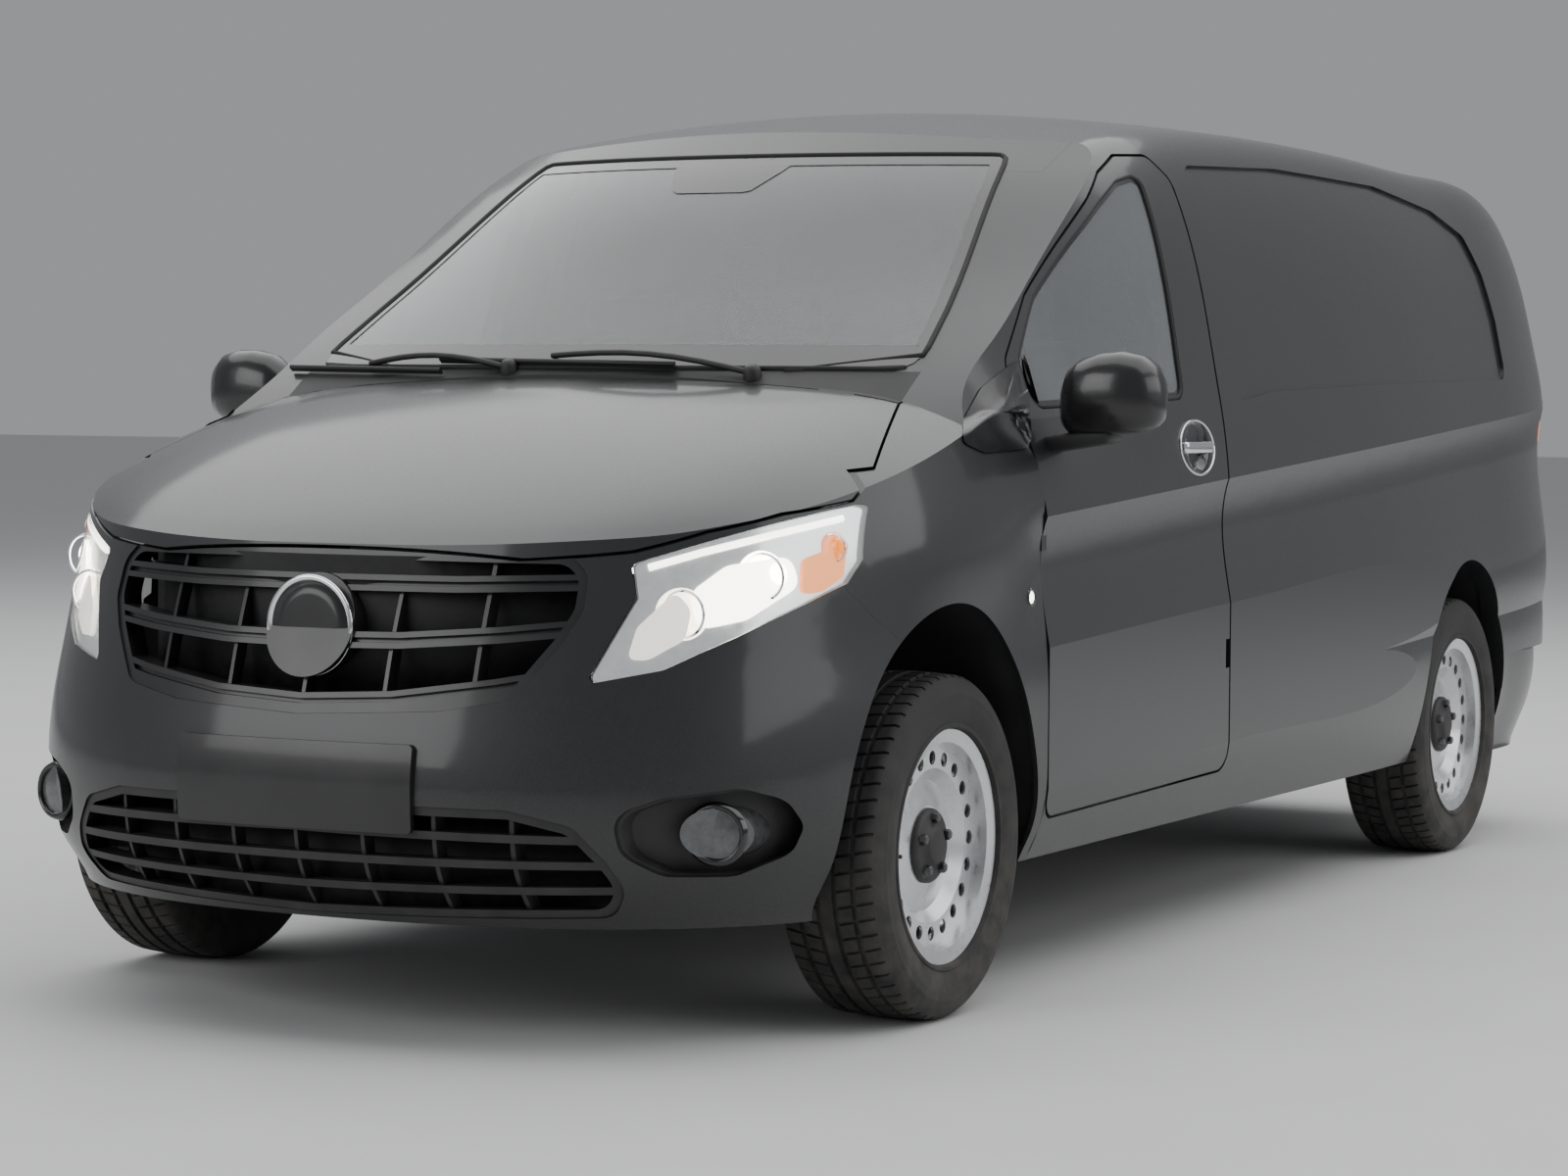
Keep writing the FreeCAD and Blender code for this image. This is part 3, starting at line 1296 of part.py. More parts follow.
def make_rear_axle():
    """The rear cross beam on its trailing arms, with the stubs that carry the wheels."""
    half = size("axle_beam_size") / 2
    z = AXLE_HEIGHT - size("axle_drop")
    end_y = size("track_rear") / 2 - HUB_SHARE * size("rim_width")
    plate_y = end_y - size("upright_width")
    beam = block(REAR_AXLE - half, REAR_AXLE + half, -end_y, end_y, z - half, z + half)
    plate = block(REAR_AXLE - half, REAR_AXLE + half, plate_y, end_y, z - half, AXLE_HEIGHT + half)
    hub_y = size("track_rear") / 2 + HUB_SHARE * size("rim_width")
    stub = across(size("stub_radius"), REAR_AXLE, plate_y, hub_y, AXLE_HEIGHT)
    arm_y = size("arm_y")
    front = size("arm_front_x")
    rail_low = size("load_floor_top") - size("floor_thickness") - SEAT_GAP - size("rail_height")
    line = [(REAR_AXLE, z - half), (REAR_AXLE, z + half), (front, rail_low - SEAT_GAP),
            (front, rail_low - size("bracket_height"))]
    arm = side_prism(line, 0, arm_y, arm_y + size("arm_width"))
    bracket = block(front - size("bracket_length"), front, size("rail_y"), arm_y + size("arm_width"),
                    rail_low - size("bracket_height"), rail_low - SEAT_GAP)
    return beam.fuse(both(plate.fuse(stub).fuse(arm).fuse(bracket)))


# Cab fittings

DASH_SHARES = ((0.4765, 0.34), (0.4765, 0.5982), (0.535, 0.5982), (0.552, 0.617), (0.435, 0.610),
               (0.39, 0.592), (0.366, 0.55), (0.362, 0.476), (0.393, 0.402), (0.43, 0.34))
WHEEL_TILT_SHARE = 0.2


def steering_axis():
    """The steering wheel's centre, and the direction along its column to the dashboard."""
    tilt = WHEEL_TILT_SHARE * math.pi
    centre = Vector(size("wheel_x"), size("driver_y"), size("wheel_height"))
    return centre, Vector(math.cos(tilt), 0, -math.sin(tilt))


def make_dashboard():
    dash = CLEAR_BODY.common(both_sides_prism(side_outline(DASH_SHARES), OVERRUN))
    wall_x = size("firewall_x")
    dash = dash.cut(block(wall_x - SEAT_GAP, wall_x + size("sheet_thickness") + SEAT_GAP, -LENGTH, LENGTH, 0,
                          size("firewall_top") + SEAT_GAP))
    centre, direction = steering_axis()
    reach = size("column_length") + OVERRUN
    hole = Part.makeCylinder(size("column_radius") + SEAT_GAP, reach, centre, direction)
    return main_solid(dash.cut(hole))


HUB_DISC_SHARE = 0.36


def make_steering_wheel():
    centre, direction = steering_axis()
    radius = size("steering_radius")
    rim = size("steering_rim")
    wheel = Part.makeTorus(radius, rim, centre, direction)
    wheel = wheel.fuse(Part.makeCylinder(size("column_radius"), size("column_length"), centre, direction))
    hub = Part.makeCylinder(radius * HUB_DISC_SHARE, rim * 2, centre - direction * rim, direction)
    wheel = wheel.fuse(hub)
    side_arm = Part.makeBox(rim * 2, 2 * radius, rim, Vector(-rim, -radius, -rim / 2))
    low_arm = Part.makeBox(radius, rim * 2, rim, Vector(0, -rim, -rim / 2))
    turn = Placement(centre, Rotation(Vector(0, 0, 1), direction))
    for arm in (side_arm, low_arm):
        arm.Placement = turn
        wheel = wheel.fuse(arm)
    return wheel


BACK_TILT_SHARE = 0.055


def make_seat(y, width):
    """One seat: its cushion and its leaning back."""
    x = size("seat_x")
    top = size("cushion_top")
    high = size("cushion_height")
    thick = size("back_thickness")
    soft = size("edge_radius")
    right = y - width / 2
    left = y + width / 2
    low = top - high / 2
    cushion = soft_block(x - thick, x + size("seat_length"), right, left, top - high, top, soft)
    back = soft_block(x - thick, x, right, left, low, top + size("back_height"), soft)
    tilt = math.degrees(BACK_TILT_SHARE * math.pi)
    back.rotate(Vector(x - thick, y, low), Vector(0, 1, 0), -tilt)
    return cushion.fuse(back)


def soft_block(x0, x1, y0, y1, z0, z1, radius):
    solid = block(x0, x1, y0, y1, z0, z1)
    return solid.makeFillet(radius, solid.Edges)


def make_seats():
    driver = make_seat(size("driver_y"), size("seat_width"))
    return driver.fuse(make_seat(size("bench_y"), size("bench_width")))


def make_seat_base(y, width):
    x = size("seat_x")
    half = width / 2 - size("base_inset")
    low = size("cab_floor_top") + SEAT_GAP
    high = size("cushion_top") - size("cushion_height") - SEAT_GAP
    front = x + size("seat_length") - size("base_inset")
    return block(x - size("back_thickness"), front, y - half, y + half, low, high)


def make_seat_bases():
    driver = make_seat_base(size("driver_y"), size("seat_width"))
    return driver.fuse(make_seat_base(size("bench_y"), size("bench_width")))


def make_mirror():
    """A left outside mirror: a rounded head on a short foot from the door."""
    x = size("mirror_x")
    y = size("mirror_y")
    z = size("mirror_bottom")
    head = soft_block(x, x + size("mirror_length"), y, y + size("mirror_width"), z, z + size("mirror_height"),
                      size("mirror_round"))
    foot = block(x, x + size("stalk_length"), size("stalk_inner_y") - WALL, y + size("mirror_width") / 2,
                 z - size("stalk_height") / 2, z + size("stalk_height") / 2)
    foot = foot.cut(body_loft(-SEAT_GAP))
    return main_solid(foot.fuse(head))


# Bound pieces: blocks, tubes and wheels whose sizes are tied to the sheet

def bound(kind, label, x, y, z, **cells):
    """A primitive whose sizes and place follow expressions on the sheet."""
    item = doc.addObject(kind, label)
    item.Label = label
    for name, expression in cells.items():
        item.setExpression(name, expression)
    for axis, expression in (("x", x), ("y", y), ("z", z)):
        item.setExpression(f"Placement.Base.{axis}", expression)
    return item


def lying(item):
    """Turns a cylinder so that it lies along the vehicle."""
    item.Placement = Placement(item.Placement.Base, Rotation(Vector(0, 1, 0), 90))
    return item


def make_engine():
    return bound("Part::Box", "engine", "sizes.engine_x", "-sizes.engine_width / 2", "sizes.engine_z",
                 Length="sizes.engine_length", Width="sizes.engine_width", Height="sizes.engine_height")


def make_radiator():
    return bound("Part::Box", "radiator", "sizes.beam_x - sizes.radiator_thickness - sizes.seat_gap",
                 "-sizes.radiator_width / 2", "sizes.radiator_z", Length="sizes.radiator_thickness",
                 Width="sizes.radiator_width", Height="sizes.radiator_height")


def make_fuel_tank():
    """The tank with rounded edges, hung under the load floor."""
    top = "sizes.load_floor_top - sizes.floor_thickness - sizes.seat_gap"
    box = bound("Part::Box", "tank_block", "sizes.tank_x", "sizes.tank_y", f"{top} - sizes.tank_height",
                Length="sizes.tank_length", Width="sizes.tank_width", Height="sizes.tank_height")
    doc.recompute()
    tank = doc.addObject("Part::Fillet", "fuel_tank")
    tank.Base = box
    radius = size("edge_radius")
    tank.Edges = [(i + 1, radius, radius) for i in range(len(box.Shape.Edges))]
    return tank


def make_propshaft():
    """The shaft from the engine's rear to the rear axle's beam."""
    rear = "(sizes.overall_length / 2 - sizes.front_overhang - sizes.wheelbase + sizes.axle_beam_size / 2"
    return lying(bound("Part::Cylinder", "propshaft", f"{rear} + sizes.seat_gap)", "0", "sizes.shaft_height",
                       Radius="sizes.shaft_radius", Height=f"sizes.engine_x - {rear} + 2 * sizes.seat_gap)"))


def make_exhaust():
    """The silencer with the pipe through it, from the engine to the rear."""
    height = "sizes.cab_floor_top - sizes.floor_thickness - sizes.seat_gap - sizes.pipe_radius"
    silencer = lying(bound("Part::Cylinder", "silencer", "sizes.silencer_x", "sizes.exhaust_y", height,
                           Radius="sizes.silencer_radius", Height="sizes.silencer_length"))
    reach = "sizes.engine_x - sizes.rail_rear_x - sizes.seat_gap"
    pipe = lying(bound("Part::Cylinder", "exhaust_pipe", "sizes.rail_rear_x", "sizes.exhaust_y", height,
                       Radius="sizes.pipe_radius", Height=reach))
    exhaust = doc.addObject("Part::Fuse", "exhaust")
    exhaust.Base = silencer
    exhaust.Tool = pipe
    return exhaust


# Wheels. Profiles in shares of a radius and of a width. FLANGE_SHARE is the rim's largest radius,
# where the tyre sits
FLANGE_SHARE = 1.06
TYRE_SHARES = ((0, -0.5), (0.96, -0.5), (1.0, -0.42), (1.0, 0.42), (0.96, 0.5), (0, 0.5))
RIM_SHARES = ((FLANGE_SHARE, -0.5), (0.985, -0.46), (0.875, -0.34), (0.875, 0.2), (0.985, 0.3),
              (0.985, 0.46), (FLANGE_SHARE, 0.5), (FLANGE_SHARE, 0.54), (0.94, 0.5), (0.93, 0.36),
              (0.70, 0.36), (0.6, 0.24), (0.36, 0.3), (0, 0.3), (0, 0.26), (0.35, 0.26), (0.6, 0.2),
              (0.71, 0.33), (0.91, 0.33), (0.84, 0.25), (0.84, -0.32), (0.94, -0.46), (FLANGE_SHARE, -0.54))


def origin_plane(body, role):
    return [feature for feature in body.Origin.OriginFeatures if feature.Role == role][0]


def ring_body(label, shares, inner, radius_cell, width_cell):
    """A body turned about Y from a profile; a radius share of 0 stands for the inner radius."""
    body = doc.addObject("PartDesign::Body", label)
    body.Label = label
    sketch = body.newObject("Sketcher::SketchObject", f"{label}_profile")
    sketch.AttachmentSupport = (origin_plane(body, "XY_Plane"), [""])
    sketch.MapMode = "FlatFace"
    inner_expression, inner_radius = inner
    points = []
    for share, width in shares:
        points.append(Vector(share * size(radius_cell) or inner_radius, width * size(width_cell), 0))
    count = len(points)
    for i, start in enumerate(points):
        sketch.addGeometry(Part.LineSegment(start, points[(i + 1) % count]), False)
    for i in range(count):
        sketch.addConstraint(Sketcher.Constraint("Coincident", i, 2, (i + 1) % count, 1))
    for i, (share, width) in enumerate(shares):
        radius = sketch.addConstraint(Sketcher.Constraint("DistanceX", -1, 1, i, 1, points[i].x))
        expression = f"sizes.{radius_cell} * {share}" if share else inner_expression
        sketch.setExpression(f"Constraints[{radius}]", expression)
        across_y = sketch.addConstraint(Sketcher.Constraint("DistanceY", -1, 1, i, 1, points[i].y))
        sketch.setExpression(f"Constraints[{across_y}]", f"sizes.{width_cell} * {width}")
    turned = body.newObject("PartDesign::Revolution", f"{label}_ring")
    turned.Profile = sketch
    turned.ReferenceAxis = (sketch, ["V_Axis"])
    turned.Angle = 360
    doc.recompute()
    return body


def add_vents(body, label):
    """Round holes through the wheel's disc, repeated about its axis."""
    sketch = body.newObject("Sketcher::SketchObject", f"{label}_vent_circle")
    sketch.AttachmentSupport = (origin_plane(body, "XZ_Plane"), [""])
    sketch.MapMode = "FlatFace"
    centre = Vector(size("vent_circle"), 0, 0)
    circle = sketch.addGeometry(Part.Circle(centre, Vector(0, 0, 1), size("vent_radius")))
    place = sketch.addConstraint(Sketcher.Constraint("DistanceX", -1, 1, circle, 3, centre.x))
    sketch.setExpression(f"Constraints[{place}]", "sizes.vent_circle")
    sketch.addConstraint(Sketcher.Constraint("PointOnObject", circle, 3, -1))
    radius = sketch.addConstraint(Sketcher.Constraint("Radius", circle, size("vent_radius")))
    sketch.setExpression(f"Constraints[{radius}]", "sizes.vent_radius")
    doc.recompute()
    before = body.Shape.Volume
    pocket = body.newObject("PartDesign::Pocket", f"{label}_vent")
    pocket.Profile = sketch
    pocket.setExpression("Length", "sizes.rim_width / 2")
    doc.recompute()
    if pocket.Shape.Volume >= before:
        pocket.Reversed = True
        doc.recompute()
    pattern = body.newObject("PartDesign::PolarPattern", f"{label}_vents")
    pattern.Originals = [pocket]
    pattern.Axis = (origin_plane(body, "Y_Axis"), [""])
    pattern.Angle = 360
    pattern.setExpression("Occurrences", "sizes.vent_count")
    body.Tip = pattern
    doc.recompute()


def make_wheel(end, side, axle, centre_y, turn):
    """One tyre and its pressed steel wheel."""
    bead_expression = f"sizes.rim_radius * {FLANGE_SHARE} + sizes.seat_gap"
    bead = (bead_expression, FLANGE_SHARE * size("rim_radius") + SEAT_GAP)
    hub = ("sizes.hub_bore", size("hub_bore"))
    tyre = ring_body(f"tyre_{end}_{side}", TYRE_SHARES, bead, "tyre_radius", "tyre_width")
    rim = ring_body(f"rim_{end}_{side}", RIM_SHARES, hub, "rim_radius", "rim_width")
    add_vents(rim, f"rim_{end}_{side}")
    for body in (tyre, rim):
        body.Placement = Placement(Vector(axle, centre_y, AXLE_HEIGHT), Rotation(Vector(0, 0, 1), turn))
        SUBPARTS[body.Label] = body


SIDE = make_side()
PRESSED_PANEL = PRESSING.common(both_sides_prism(side_outline(PANEL_SHARES), RADIUS))


def make_side_left():
    """The left side, with its pressed panel."""
    return main_solid(SIDE.cut(PRESSED_PANEL))


def make_side_right():
    """The right side: the sliding door's opening, and the slot for its rail."""
    right = mirrored(SIDE).cut(both_sides_prism(SLIDER_LINE, RADIUS)).cut(PRESSED_PANEL)
    x_end = SLIDER_LINE[0][0] - size("post_length")
    slot = block(x_end - size("rail_slot_length"), x_end, -LENGTH, size("rail_slot_depth") - HALF_WIDTH,
                 size("rail_slot_z"), size("rail_slot_z") + size("rail_slot_height"))
    return main_solid(right.cut(slot))


SINGLE = {
    "side_left": make_side_left,
    "side_right": make_side_right,
    "sliding_door": make_sliding_door,
    "roof": make_roof,
    "windscreen": make_windscreen,
    "cowl": make_cowl,
    "tail_lamps": make_tail_lamps,
    "rear_bumper": make_rear_bumper,
    "bonnet": make_bonnet,
    "front_bumper": make_front_bumper,
    "grille": make_grille,
    "lower_grille": make_lower_grille,
    "headlamps": make_headlamps,
    "headlamp_lenses": make_headlamp_lenses,
    "fog_surrounds": make_fog_surrounds,
    "small_lamps": make_small_lamps,
    "plate_bracket": make_plate_bracket,
    "floor": make_floor,
    "bulkhead": make_bulkhead,
    "arch_liners": make_arch_liners,
    "chassis": make_chassis,
    "struts": make_struts,
    "rear_axle": make_rear_axle,
    "dashboard": make_dashboard,
    "steering_wheel": make_steering_wheel,
    "seats": make_seats,
    "seat_bases": make_seat_bases,
}
HANDED = {
    "door": make_door,
    "door_glass": make_door_glass,
    "rear_door": make_rear_door,
    "wing": make_wing,
    "mirror": make_mirror,
    "knuckle": make_knuckle,
}
BOUND = {
    "engine": make_engine,
    "radiator": make_radiator,
    "fuel_tank": make_fuel_tank,
    "propshaft": make_propshaft,
    "exhaust": make_exhaust,
}
for label, make in SINGLE.items():
    keep(label, make())
for label, make in HANDED.items():
    shape = make()
    keep(f"{label}_left", shape)
    keep(f"{label}_right", mirrored(shape))
for label, make in BOUND.items():
    SUBPARTS[label] = make()
for end, axle, track in (("front", FRONT_AXLE, size("track_front")), ("rear", REAR_AXLE, size("track_rear"))):
    make_wheel(end, "left", axle, track / 2, 0)
    make_wheel(end, "right", axle, -track / 2, 180)
doc.recompute()

for item in doc.Objects:
    if "Invalid" in item.State or "Error" in item.State:
        raise RuntimeError(f"{item.Label} failed: {item.State}")
for label, item in SUBPARTS.items():
    if item.Shape.isNull() or not item.Shape.isValid() or not item.Shape.Solids:
        raise RuntimeError(f"{label} has no valid solid")

os.makedirs("parts", exist_ok=True)
for label, item in SUBPARTS.items():
    item.Shape.exportStep(f"parts/{label}.step")
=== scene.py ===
import math

import bmesh
import bpy
from mathutils import Matrix, Vector
from mathutils.bvhtree import BVHTree


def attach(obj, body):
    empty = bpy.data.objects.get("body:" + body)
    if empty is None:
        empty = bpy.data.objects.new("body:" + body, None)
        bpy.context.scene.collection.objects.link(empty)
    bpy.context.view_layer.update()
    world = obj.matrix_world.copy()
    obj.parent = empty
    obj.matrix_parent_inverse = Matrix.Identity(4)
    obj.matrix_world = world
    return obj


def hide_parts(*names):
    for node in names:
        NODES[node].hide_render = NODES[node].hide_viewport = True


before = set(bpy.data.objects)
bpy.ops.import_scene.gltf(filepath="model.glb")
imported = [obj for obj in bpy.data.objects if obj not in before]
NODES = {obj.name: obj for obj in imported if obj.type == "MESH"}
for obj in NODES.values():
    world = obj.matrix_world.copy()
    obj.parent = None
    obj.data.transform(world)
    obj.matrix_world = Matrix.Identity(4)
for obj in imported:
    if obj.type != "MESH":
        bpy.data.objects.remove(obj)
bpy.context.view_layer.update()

# The camera: its place in metres, the direction it looks in and its focal length in pixels
CAMERA_PLACE = Vector((8.5652, 4.1611, 1.2369))
CAMERA_TURN = 3.6221
CAMERA_RISE = -0.0521
CAMERA_ROLL = 0.0063
CAMERA_FOCUS = 4013.3
PICTURE_WIDTH = 1600
PICTURE_HEIGHT = 1200

HALF_LENGTH = 2.57
HALF_WIDTH = 0.964
HEIGHT = 1.890
FAR = 3.0
AHEAD = (1, 0, 0)
SIDES = (("left", 1), ("right", -1))


# Materials

def node(tree, kind, **inputs):
    """A new shader node with its inputs set by name."""
    made = tree.nodes.new(kind)
    for name, value in inputs.items():
        made.inputs[name.replace("_", " ")].default_value = value
    return made


def span(tree, source, low, high, from_low=0.3, from_high=0.7):
    """A factor remapped to a range."""
    made = tree.nodes.new("ShaderNodeMapRange")
    made.inputs["From Min"].default_value = from_low
    made.inputs["From Max"].default_value = from_high
    made.inputs["To Min"].default_value = low
    made.inputs["To Max"].default_value = high
    tree.links.new(source, made.inputs["Value"])
    return made.outputs["Result"]


def blend_colours(tree, factor, first, second):
    made = tree.nodes.new("ShaderNodeMix")
    made.data_type = "RGBA"
    tree.links.new(factor, made.inputs["Factor"])
    for socket, value in (("A", first), ("B", second)):
        target = [i for i in made.inputs if i.name == socket and i.type == "RGBA"][0]
        if isinstance(value, tuple):
            target.default_value = value
        else:
            tree.links.new(value, target)
    return [o for o in made.outputs if o.type == "RGBA"][0]


def rgba(colour, gain=1.0):
    return tuple(min(c * gain, 1.0) for c in colour[:3]) + (1.0,)


COAT_ROUGHNESS = 0.10
GLASS_IOR = 1.45
ROUGH_SPREAD = 0.05
CLOUD_DETAIL = 6.0
CLOUD_ROUGHNESS = 0.6
GRAIN_DETAIL = 3.0
WEAVE_DISTORTION = 0.6
BUMP_STRENGTH = 0.6
DUST = (0.16, 0.145, 0.125, 1.0)
DUST_HEIGHTS = (0.20, 0.75)
MATERIALS = {}


def dusted(tree, place, factor, base, amount):
    """The base colour with road dust on it, thicker lower down."""
    parts = tree.nodes.new("ShaderNodeSeparateXYZ")
    tree.links.new(place, parts.inputs["Vector"])
    low = span(tree, parts.outputs["Z"], amount, 0.0, *DUST_HEIGHTS)
    times = tree.nodes.new("ShaderNodeMath")
    times.operation = "MULTIPLY"
    tree.links.new(low, times.inputs[0])
    tree.links.new(factor, times.inputs[1])
    return blend_colours(tree, times.outputs[0], base, DUST)


def add_relief(tree, place, shader, grain, weave, depth):
    """A fine grain, or the ribs of a weave."""
    if weave:
        fine = node(tree, "ShaderNodeTexWave", Scale=weave, Distortion=WEAVE_DISTORTION)
        fine.bands_direction = "DIAGONAL"
    else:
        fine = node(tree, "ShaderNodeTexNoise", Scale=grain, Detail=GRAIN_DETAIL)
    tree.links.new(place, fine.inputs["Vector"])
    bump = node(tree, "ShaderNodeBump", Strength=BUMP_STRENGTH, Distance=depth)
    tree.links.new(fine.outputs["Fac"], bump.inputs["Height"])
    tree.links.new(bump.outputs["Normal"], shader.inputs["Normal"])


def finish(name, colour, rough, metal=0.0, coat=0.0, mottle=6.0, contrast=0.15, grain=0.0, depth=0.0002,
           dirt=0.0, glow=0.0, clear=0.0, sheen=0.0, weave=0.0):
    """A procedural finish: mottled colour, varied roughness, a grain or weave, and road dust low down."""
    made = bpy.data.materials.new(name)
    made.use_nodes = True
    tree = made.node_tree
    shader = tree.nodes["Principled BSDF"]
    place = tree.nodes.new("ShaderNodeTexCoord").outputs["Object"]
    cloud = node(tree, "ShaderNodeTexNoise", Scale=mottle, Detail=CLOUD_DETAIL, Roughness=CLOUD_ROUGHNESS)
    tree.links.new(place, cloud.inputs["Vector"])
    factor = span(tree, cloud.outputs["Fac"], 0.0, 1.0)
    base = blend_colours(tree, factor, rgba(colour, 1 - contrast), rgba(colour, 1 + contrast))
    if dirt:
        base = dusted(tree, place, factor, base, dirt)
    tree.links.new(base, shader.inputs["Base Color"])
    smoothest = max(rough - ROUGH_SPREAD, 0.0)
    roughest = min(rough + ROUGH_SPREAD, 1.0)
    tree.links.new(span(tree, cloud.outputs["Fac"], smoothest, roughest), shader.inputs["Roughness"])
    shader.inputs["Metallic"].default_value = metal
    shader.inputs["Coat Weight"].default_value = coat
    shader.inputs["Coat Roughness"].default_value = COAT_ROUGHNESS
    shader.inputs["Sheen Weight"].default_value = sheen
    if clear:
        shader.inputs["Transmission Weight"].default_value = clear
        shader.inputs["IOR"].default_value = GLASS_IOR
    if glow:
        shader.inputs["Emission Color"].default_value = rgba(colour)
        shader.inputs["Emission Strength"].default_value = glow
    if grain or weave:
        add_relief(tree, place, shader, grain, weave, depth)
    MATERIALS[name] = made


PAINT = (0.019, 0.020, 0.0215)
FINISHES = {
    "paint": dict(colour=PAINT, rough=0.42, metal=0.35, coat=0.55, mottle=220.0, contrast=0.10, dirt=0.10),
    "paint_inside": dict(colour=(0.022, 0.023, 0.025), rough=0.5, metal=0.1, mottle=12.0, dirt=0.12),
    "plastic": dict(colour=(0.016, 0.016, 0.017), rough=0.55, mottle=9.0, contrast=0.25,
                    grain=900.0, dirt=0.18),
    "plastic_gloss": dict(colour=(0.008, 0.008, 0.009), rough=0.14, coat=0.5, mottle=7.0, contrast=0.2),
    "grille_black": dict(colour=(0.011, 0.011, 0.012), rough=0.33, coat=0.3, mottle=8.0, contrast=0.2),
    "fog_grey": dict(colour=(0.085, 0.088, 0.092), rough=0.16, coat=0.7, mottle=60.0, contrast=0.3),
    "dark_core": dict(colour=(0.014, 0.014, 0.015), rough=0.6, metal=0.4, mottle=50.0,
                      contrast=0.4, grain=240.0),
    "mirror_black": dict(colour=(0.010, 0.010, 0.011), rough=0.26, coat=0.35, mottle=9.0,
                         contrast=0.2, grain=600.0),
    "mirror_glass": dict(colour=(0.72, 0.74, 0.76), rough=0.03, metal=1.0, mottle=5.0, contrast=0.03),
    "plastic_trim": dict(colour=(0.045, 0.046, 0.048), rough=0.6, mottle=14.0, grain=700.0),
    "rubber": dict(colour=(0.011, 0.011, 0.0115), rough=0.72, mottle=25.0, contrast=0.25,
                   grain=400.0, dirt=0.10),
    "tyre": dict(colour=(0.013, 0.013, 0.0135), rough=0.74, mottle=18.0, contrast=0.3, grain=320.0,
                 dirt=0.30),
    "wheel_silver": dict(colour=(0.66, 0.67, 0.68), rough=0.30, metal=0.8, coat=0.3, mottle=40.0,
                         contrast=0.04),
    "bolt": dict(colour=(0.10, 0.10, 0.105), rough=0.35, metal=0.9, mottle=60.0),
    "chrome": dict(colour=(0.82, 0.82, 0.84), rough=0.08, metal=1.0, mottle=14.0, contrast=0.04),
    "reflector": dict(colour=(0.86, 0.87, 0.88), rough=0.20, metal=0.9, mottle=40.0, contrast=0.05,
                      glow=0.22),
    "lamp_burst": dict(colour=(1.0, 0.96, 0.88), rough=0.3, mottle=34.0, contrast=0.05, glow=7.0),
    "lamp_haze": dict(colour=(1.0, 0.94, 0.84), rough=0.3, mottle=120.0, contrast=0.25, glow=1.3),
    "windscreen_glass": dict(colour=(0.66, 0.69, 0.70), rough=0.02, mottle=3.0, contrast=0.04, clear=0.94),
    # Side glass: a real grey tint, plus a partly opaque light grey share that is a painted reflection
    # lightening the door glass
    "side_glass_painted_reflection": dict(colour=(0.40, 0.42, 0.43), rough=0.02, mottle=3.0, contrast=0.05, clear=0.72),
    "lens_glass": dict(colour=(0.97, 0.98, 0.98), rough=0.02, mottle=5.0, contrast=0.01, clear=1.0),
    "lamp_lit": dict(colour=(1.0, 0.95, 0.86), rough=0.3, mottle=20.0, contrast=0.02, glow=14.0),
    "lamp_warm": dict(colour=(1.0, 0.90, 0.76), rough=0.3, mottle=20.0, contrast=0.02, glow=4.0),
    "lamp_strip": dict(colour=(1.0, 0.97, 0.92), rough=0.3, mottle=20.0, contrast=0.02, glow=5.0),
    "amber": dict(colour=(0.95, 0.27, 0.02), rough=0.2, mottle=30.0, contrast=0.08, coat=0.6, glow=1.4),
    "tail_red": dict(colour=(0.42, 0.012, 0.012), rough=0.12, mottle=24.0, contrast=0.12, coat=0.8),
    "tail_clear": dict(colour=(0.75, 0.74, 0.72), rough=0.12, mottle=24.0, contrast=0.06, coat=0.8),
    "cloth": dict(colour=(0.030, 0.031, 0.034), rough=0.9, mottle=30.0, contrast=0.25, sheen=0.35,
                  weave=520.0, depth=0.0006),
    "leather": dict(colour=(0.02, 0.02, 0.021), rough=0.45, mottle=40.0, contrast=0.2, grain=260.0,
                    depth=0.0005),
    "cast": dict(colour=(0.13, 0.13, 0.13), rough=0.7, metal=0.6, mottle=26.0, contrast=0.3,
                 grain=160.0, depth=0.0008),
    "chassis": dict(colour=(0.022, 0.022, 0.024), rough=0.55, metal=0.2, mottle=14.0, contrast=0.3,
                    dirt=0.35),
    "bare_steel": dict(colour=(0.33, 0.32, 0.31), rough=0.42, metal=0.9, mottle=18.0, contrast=0.3,
                       dirt=0.30),
    "engine_metal": dict(colour=(0.32, 0.33, 0.34), rough=0.5, metal=0.8, mottle=20.0,
                         contrast=0.25, grain=120.0),
}
for name, looks in FINISHES.items():
    finish(name, **looks)

NODE_FINISHES = {
    "paint": ("side_left", "side_right", "sliding_door", "roof", "bonnet", "front_bumper", "rear_bumper",
              "door_left", "door_right", "rear_door_left", "rear_door_right", "wing_left", "wing_right"),
    "windscreen_glass": ("windscreen",),
    "side_glass_painted_reflection": ("door_glass_left", "door_glass_right"),
    "lens_glass": ("headlamp_lenses",),
    "fog_grey": ("small_lamps",),
    "reflector": ("headlamps",),
    "tail_red": ("tail_lamps",),
    "plastic": ("cowl", "lower_grille", "fog_surrounds", "arch_liners", "mirror_left", "mirror_right"),
    "grille_black": ("grille", "plate_bracket"),
    "plastic_trim": ("dashboard", "seat_bases", "bulkhead"),
    "paint_inside": ("floor",),
    "leather": ("steering_wheel",),
    "cloth": ("seats",),
    "chassis": ("chassis", "struts", "rear_axle", "fuel_tank"),
    "cast": ("knuckle_left", "knuckle_right"),
    "engine_metal": ("engine",),
    "dark_core": ("radiator",),
    "bare_steel": ("propshaft", "exhaust"),
    "tyre": tuple(f"tyre_{end}_{side}" for end in ("front", "rear") for side, _ in SIDES),
    "wheel_silver": tuple(f"rim_{end}_{side}" for end in ("front", "rear") for side, _ in SIDES),
}
for name, labels in NODE_FINISHES.items():
    for label in labels:
        mesh = NODES[label].data
        mesh.materials.clear()
        mesh.materials.append(MATERIALS[name])


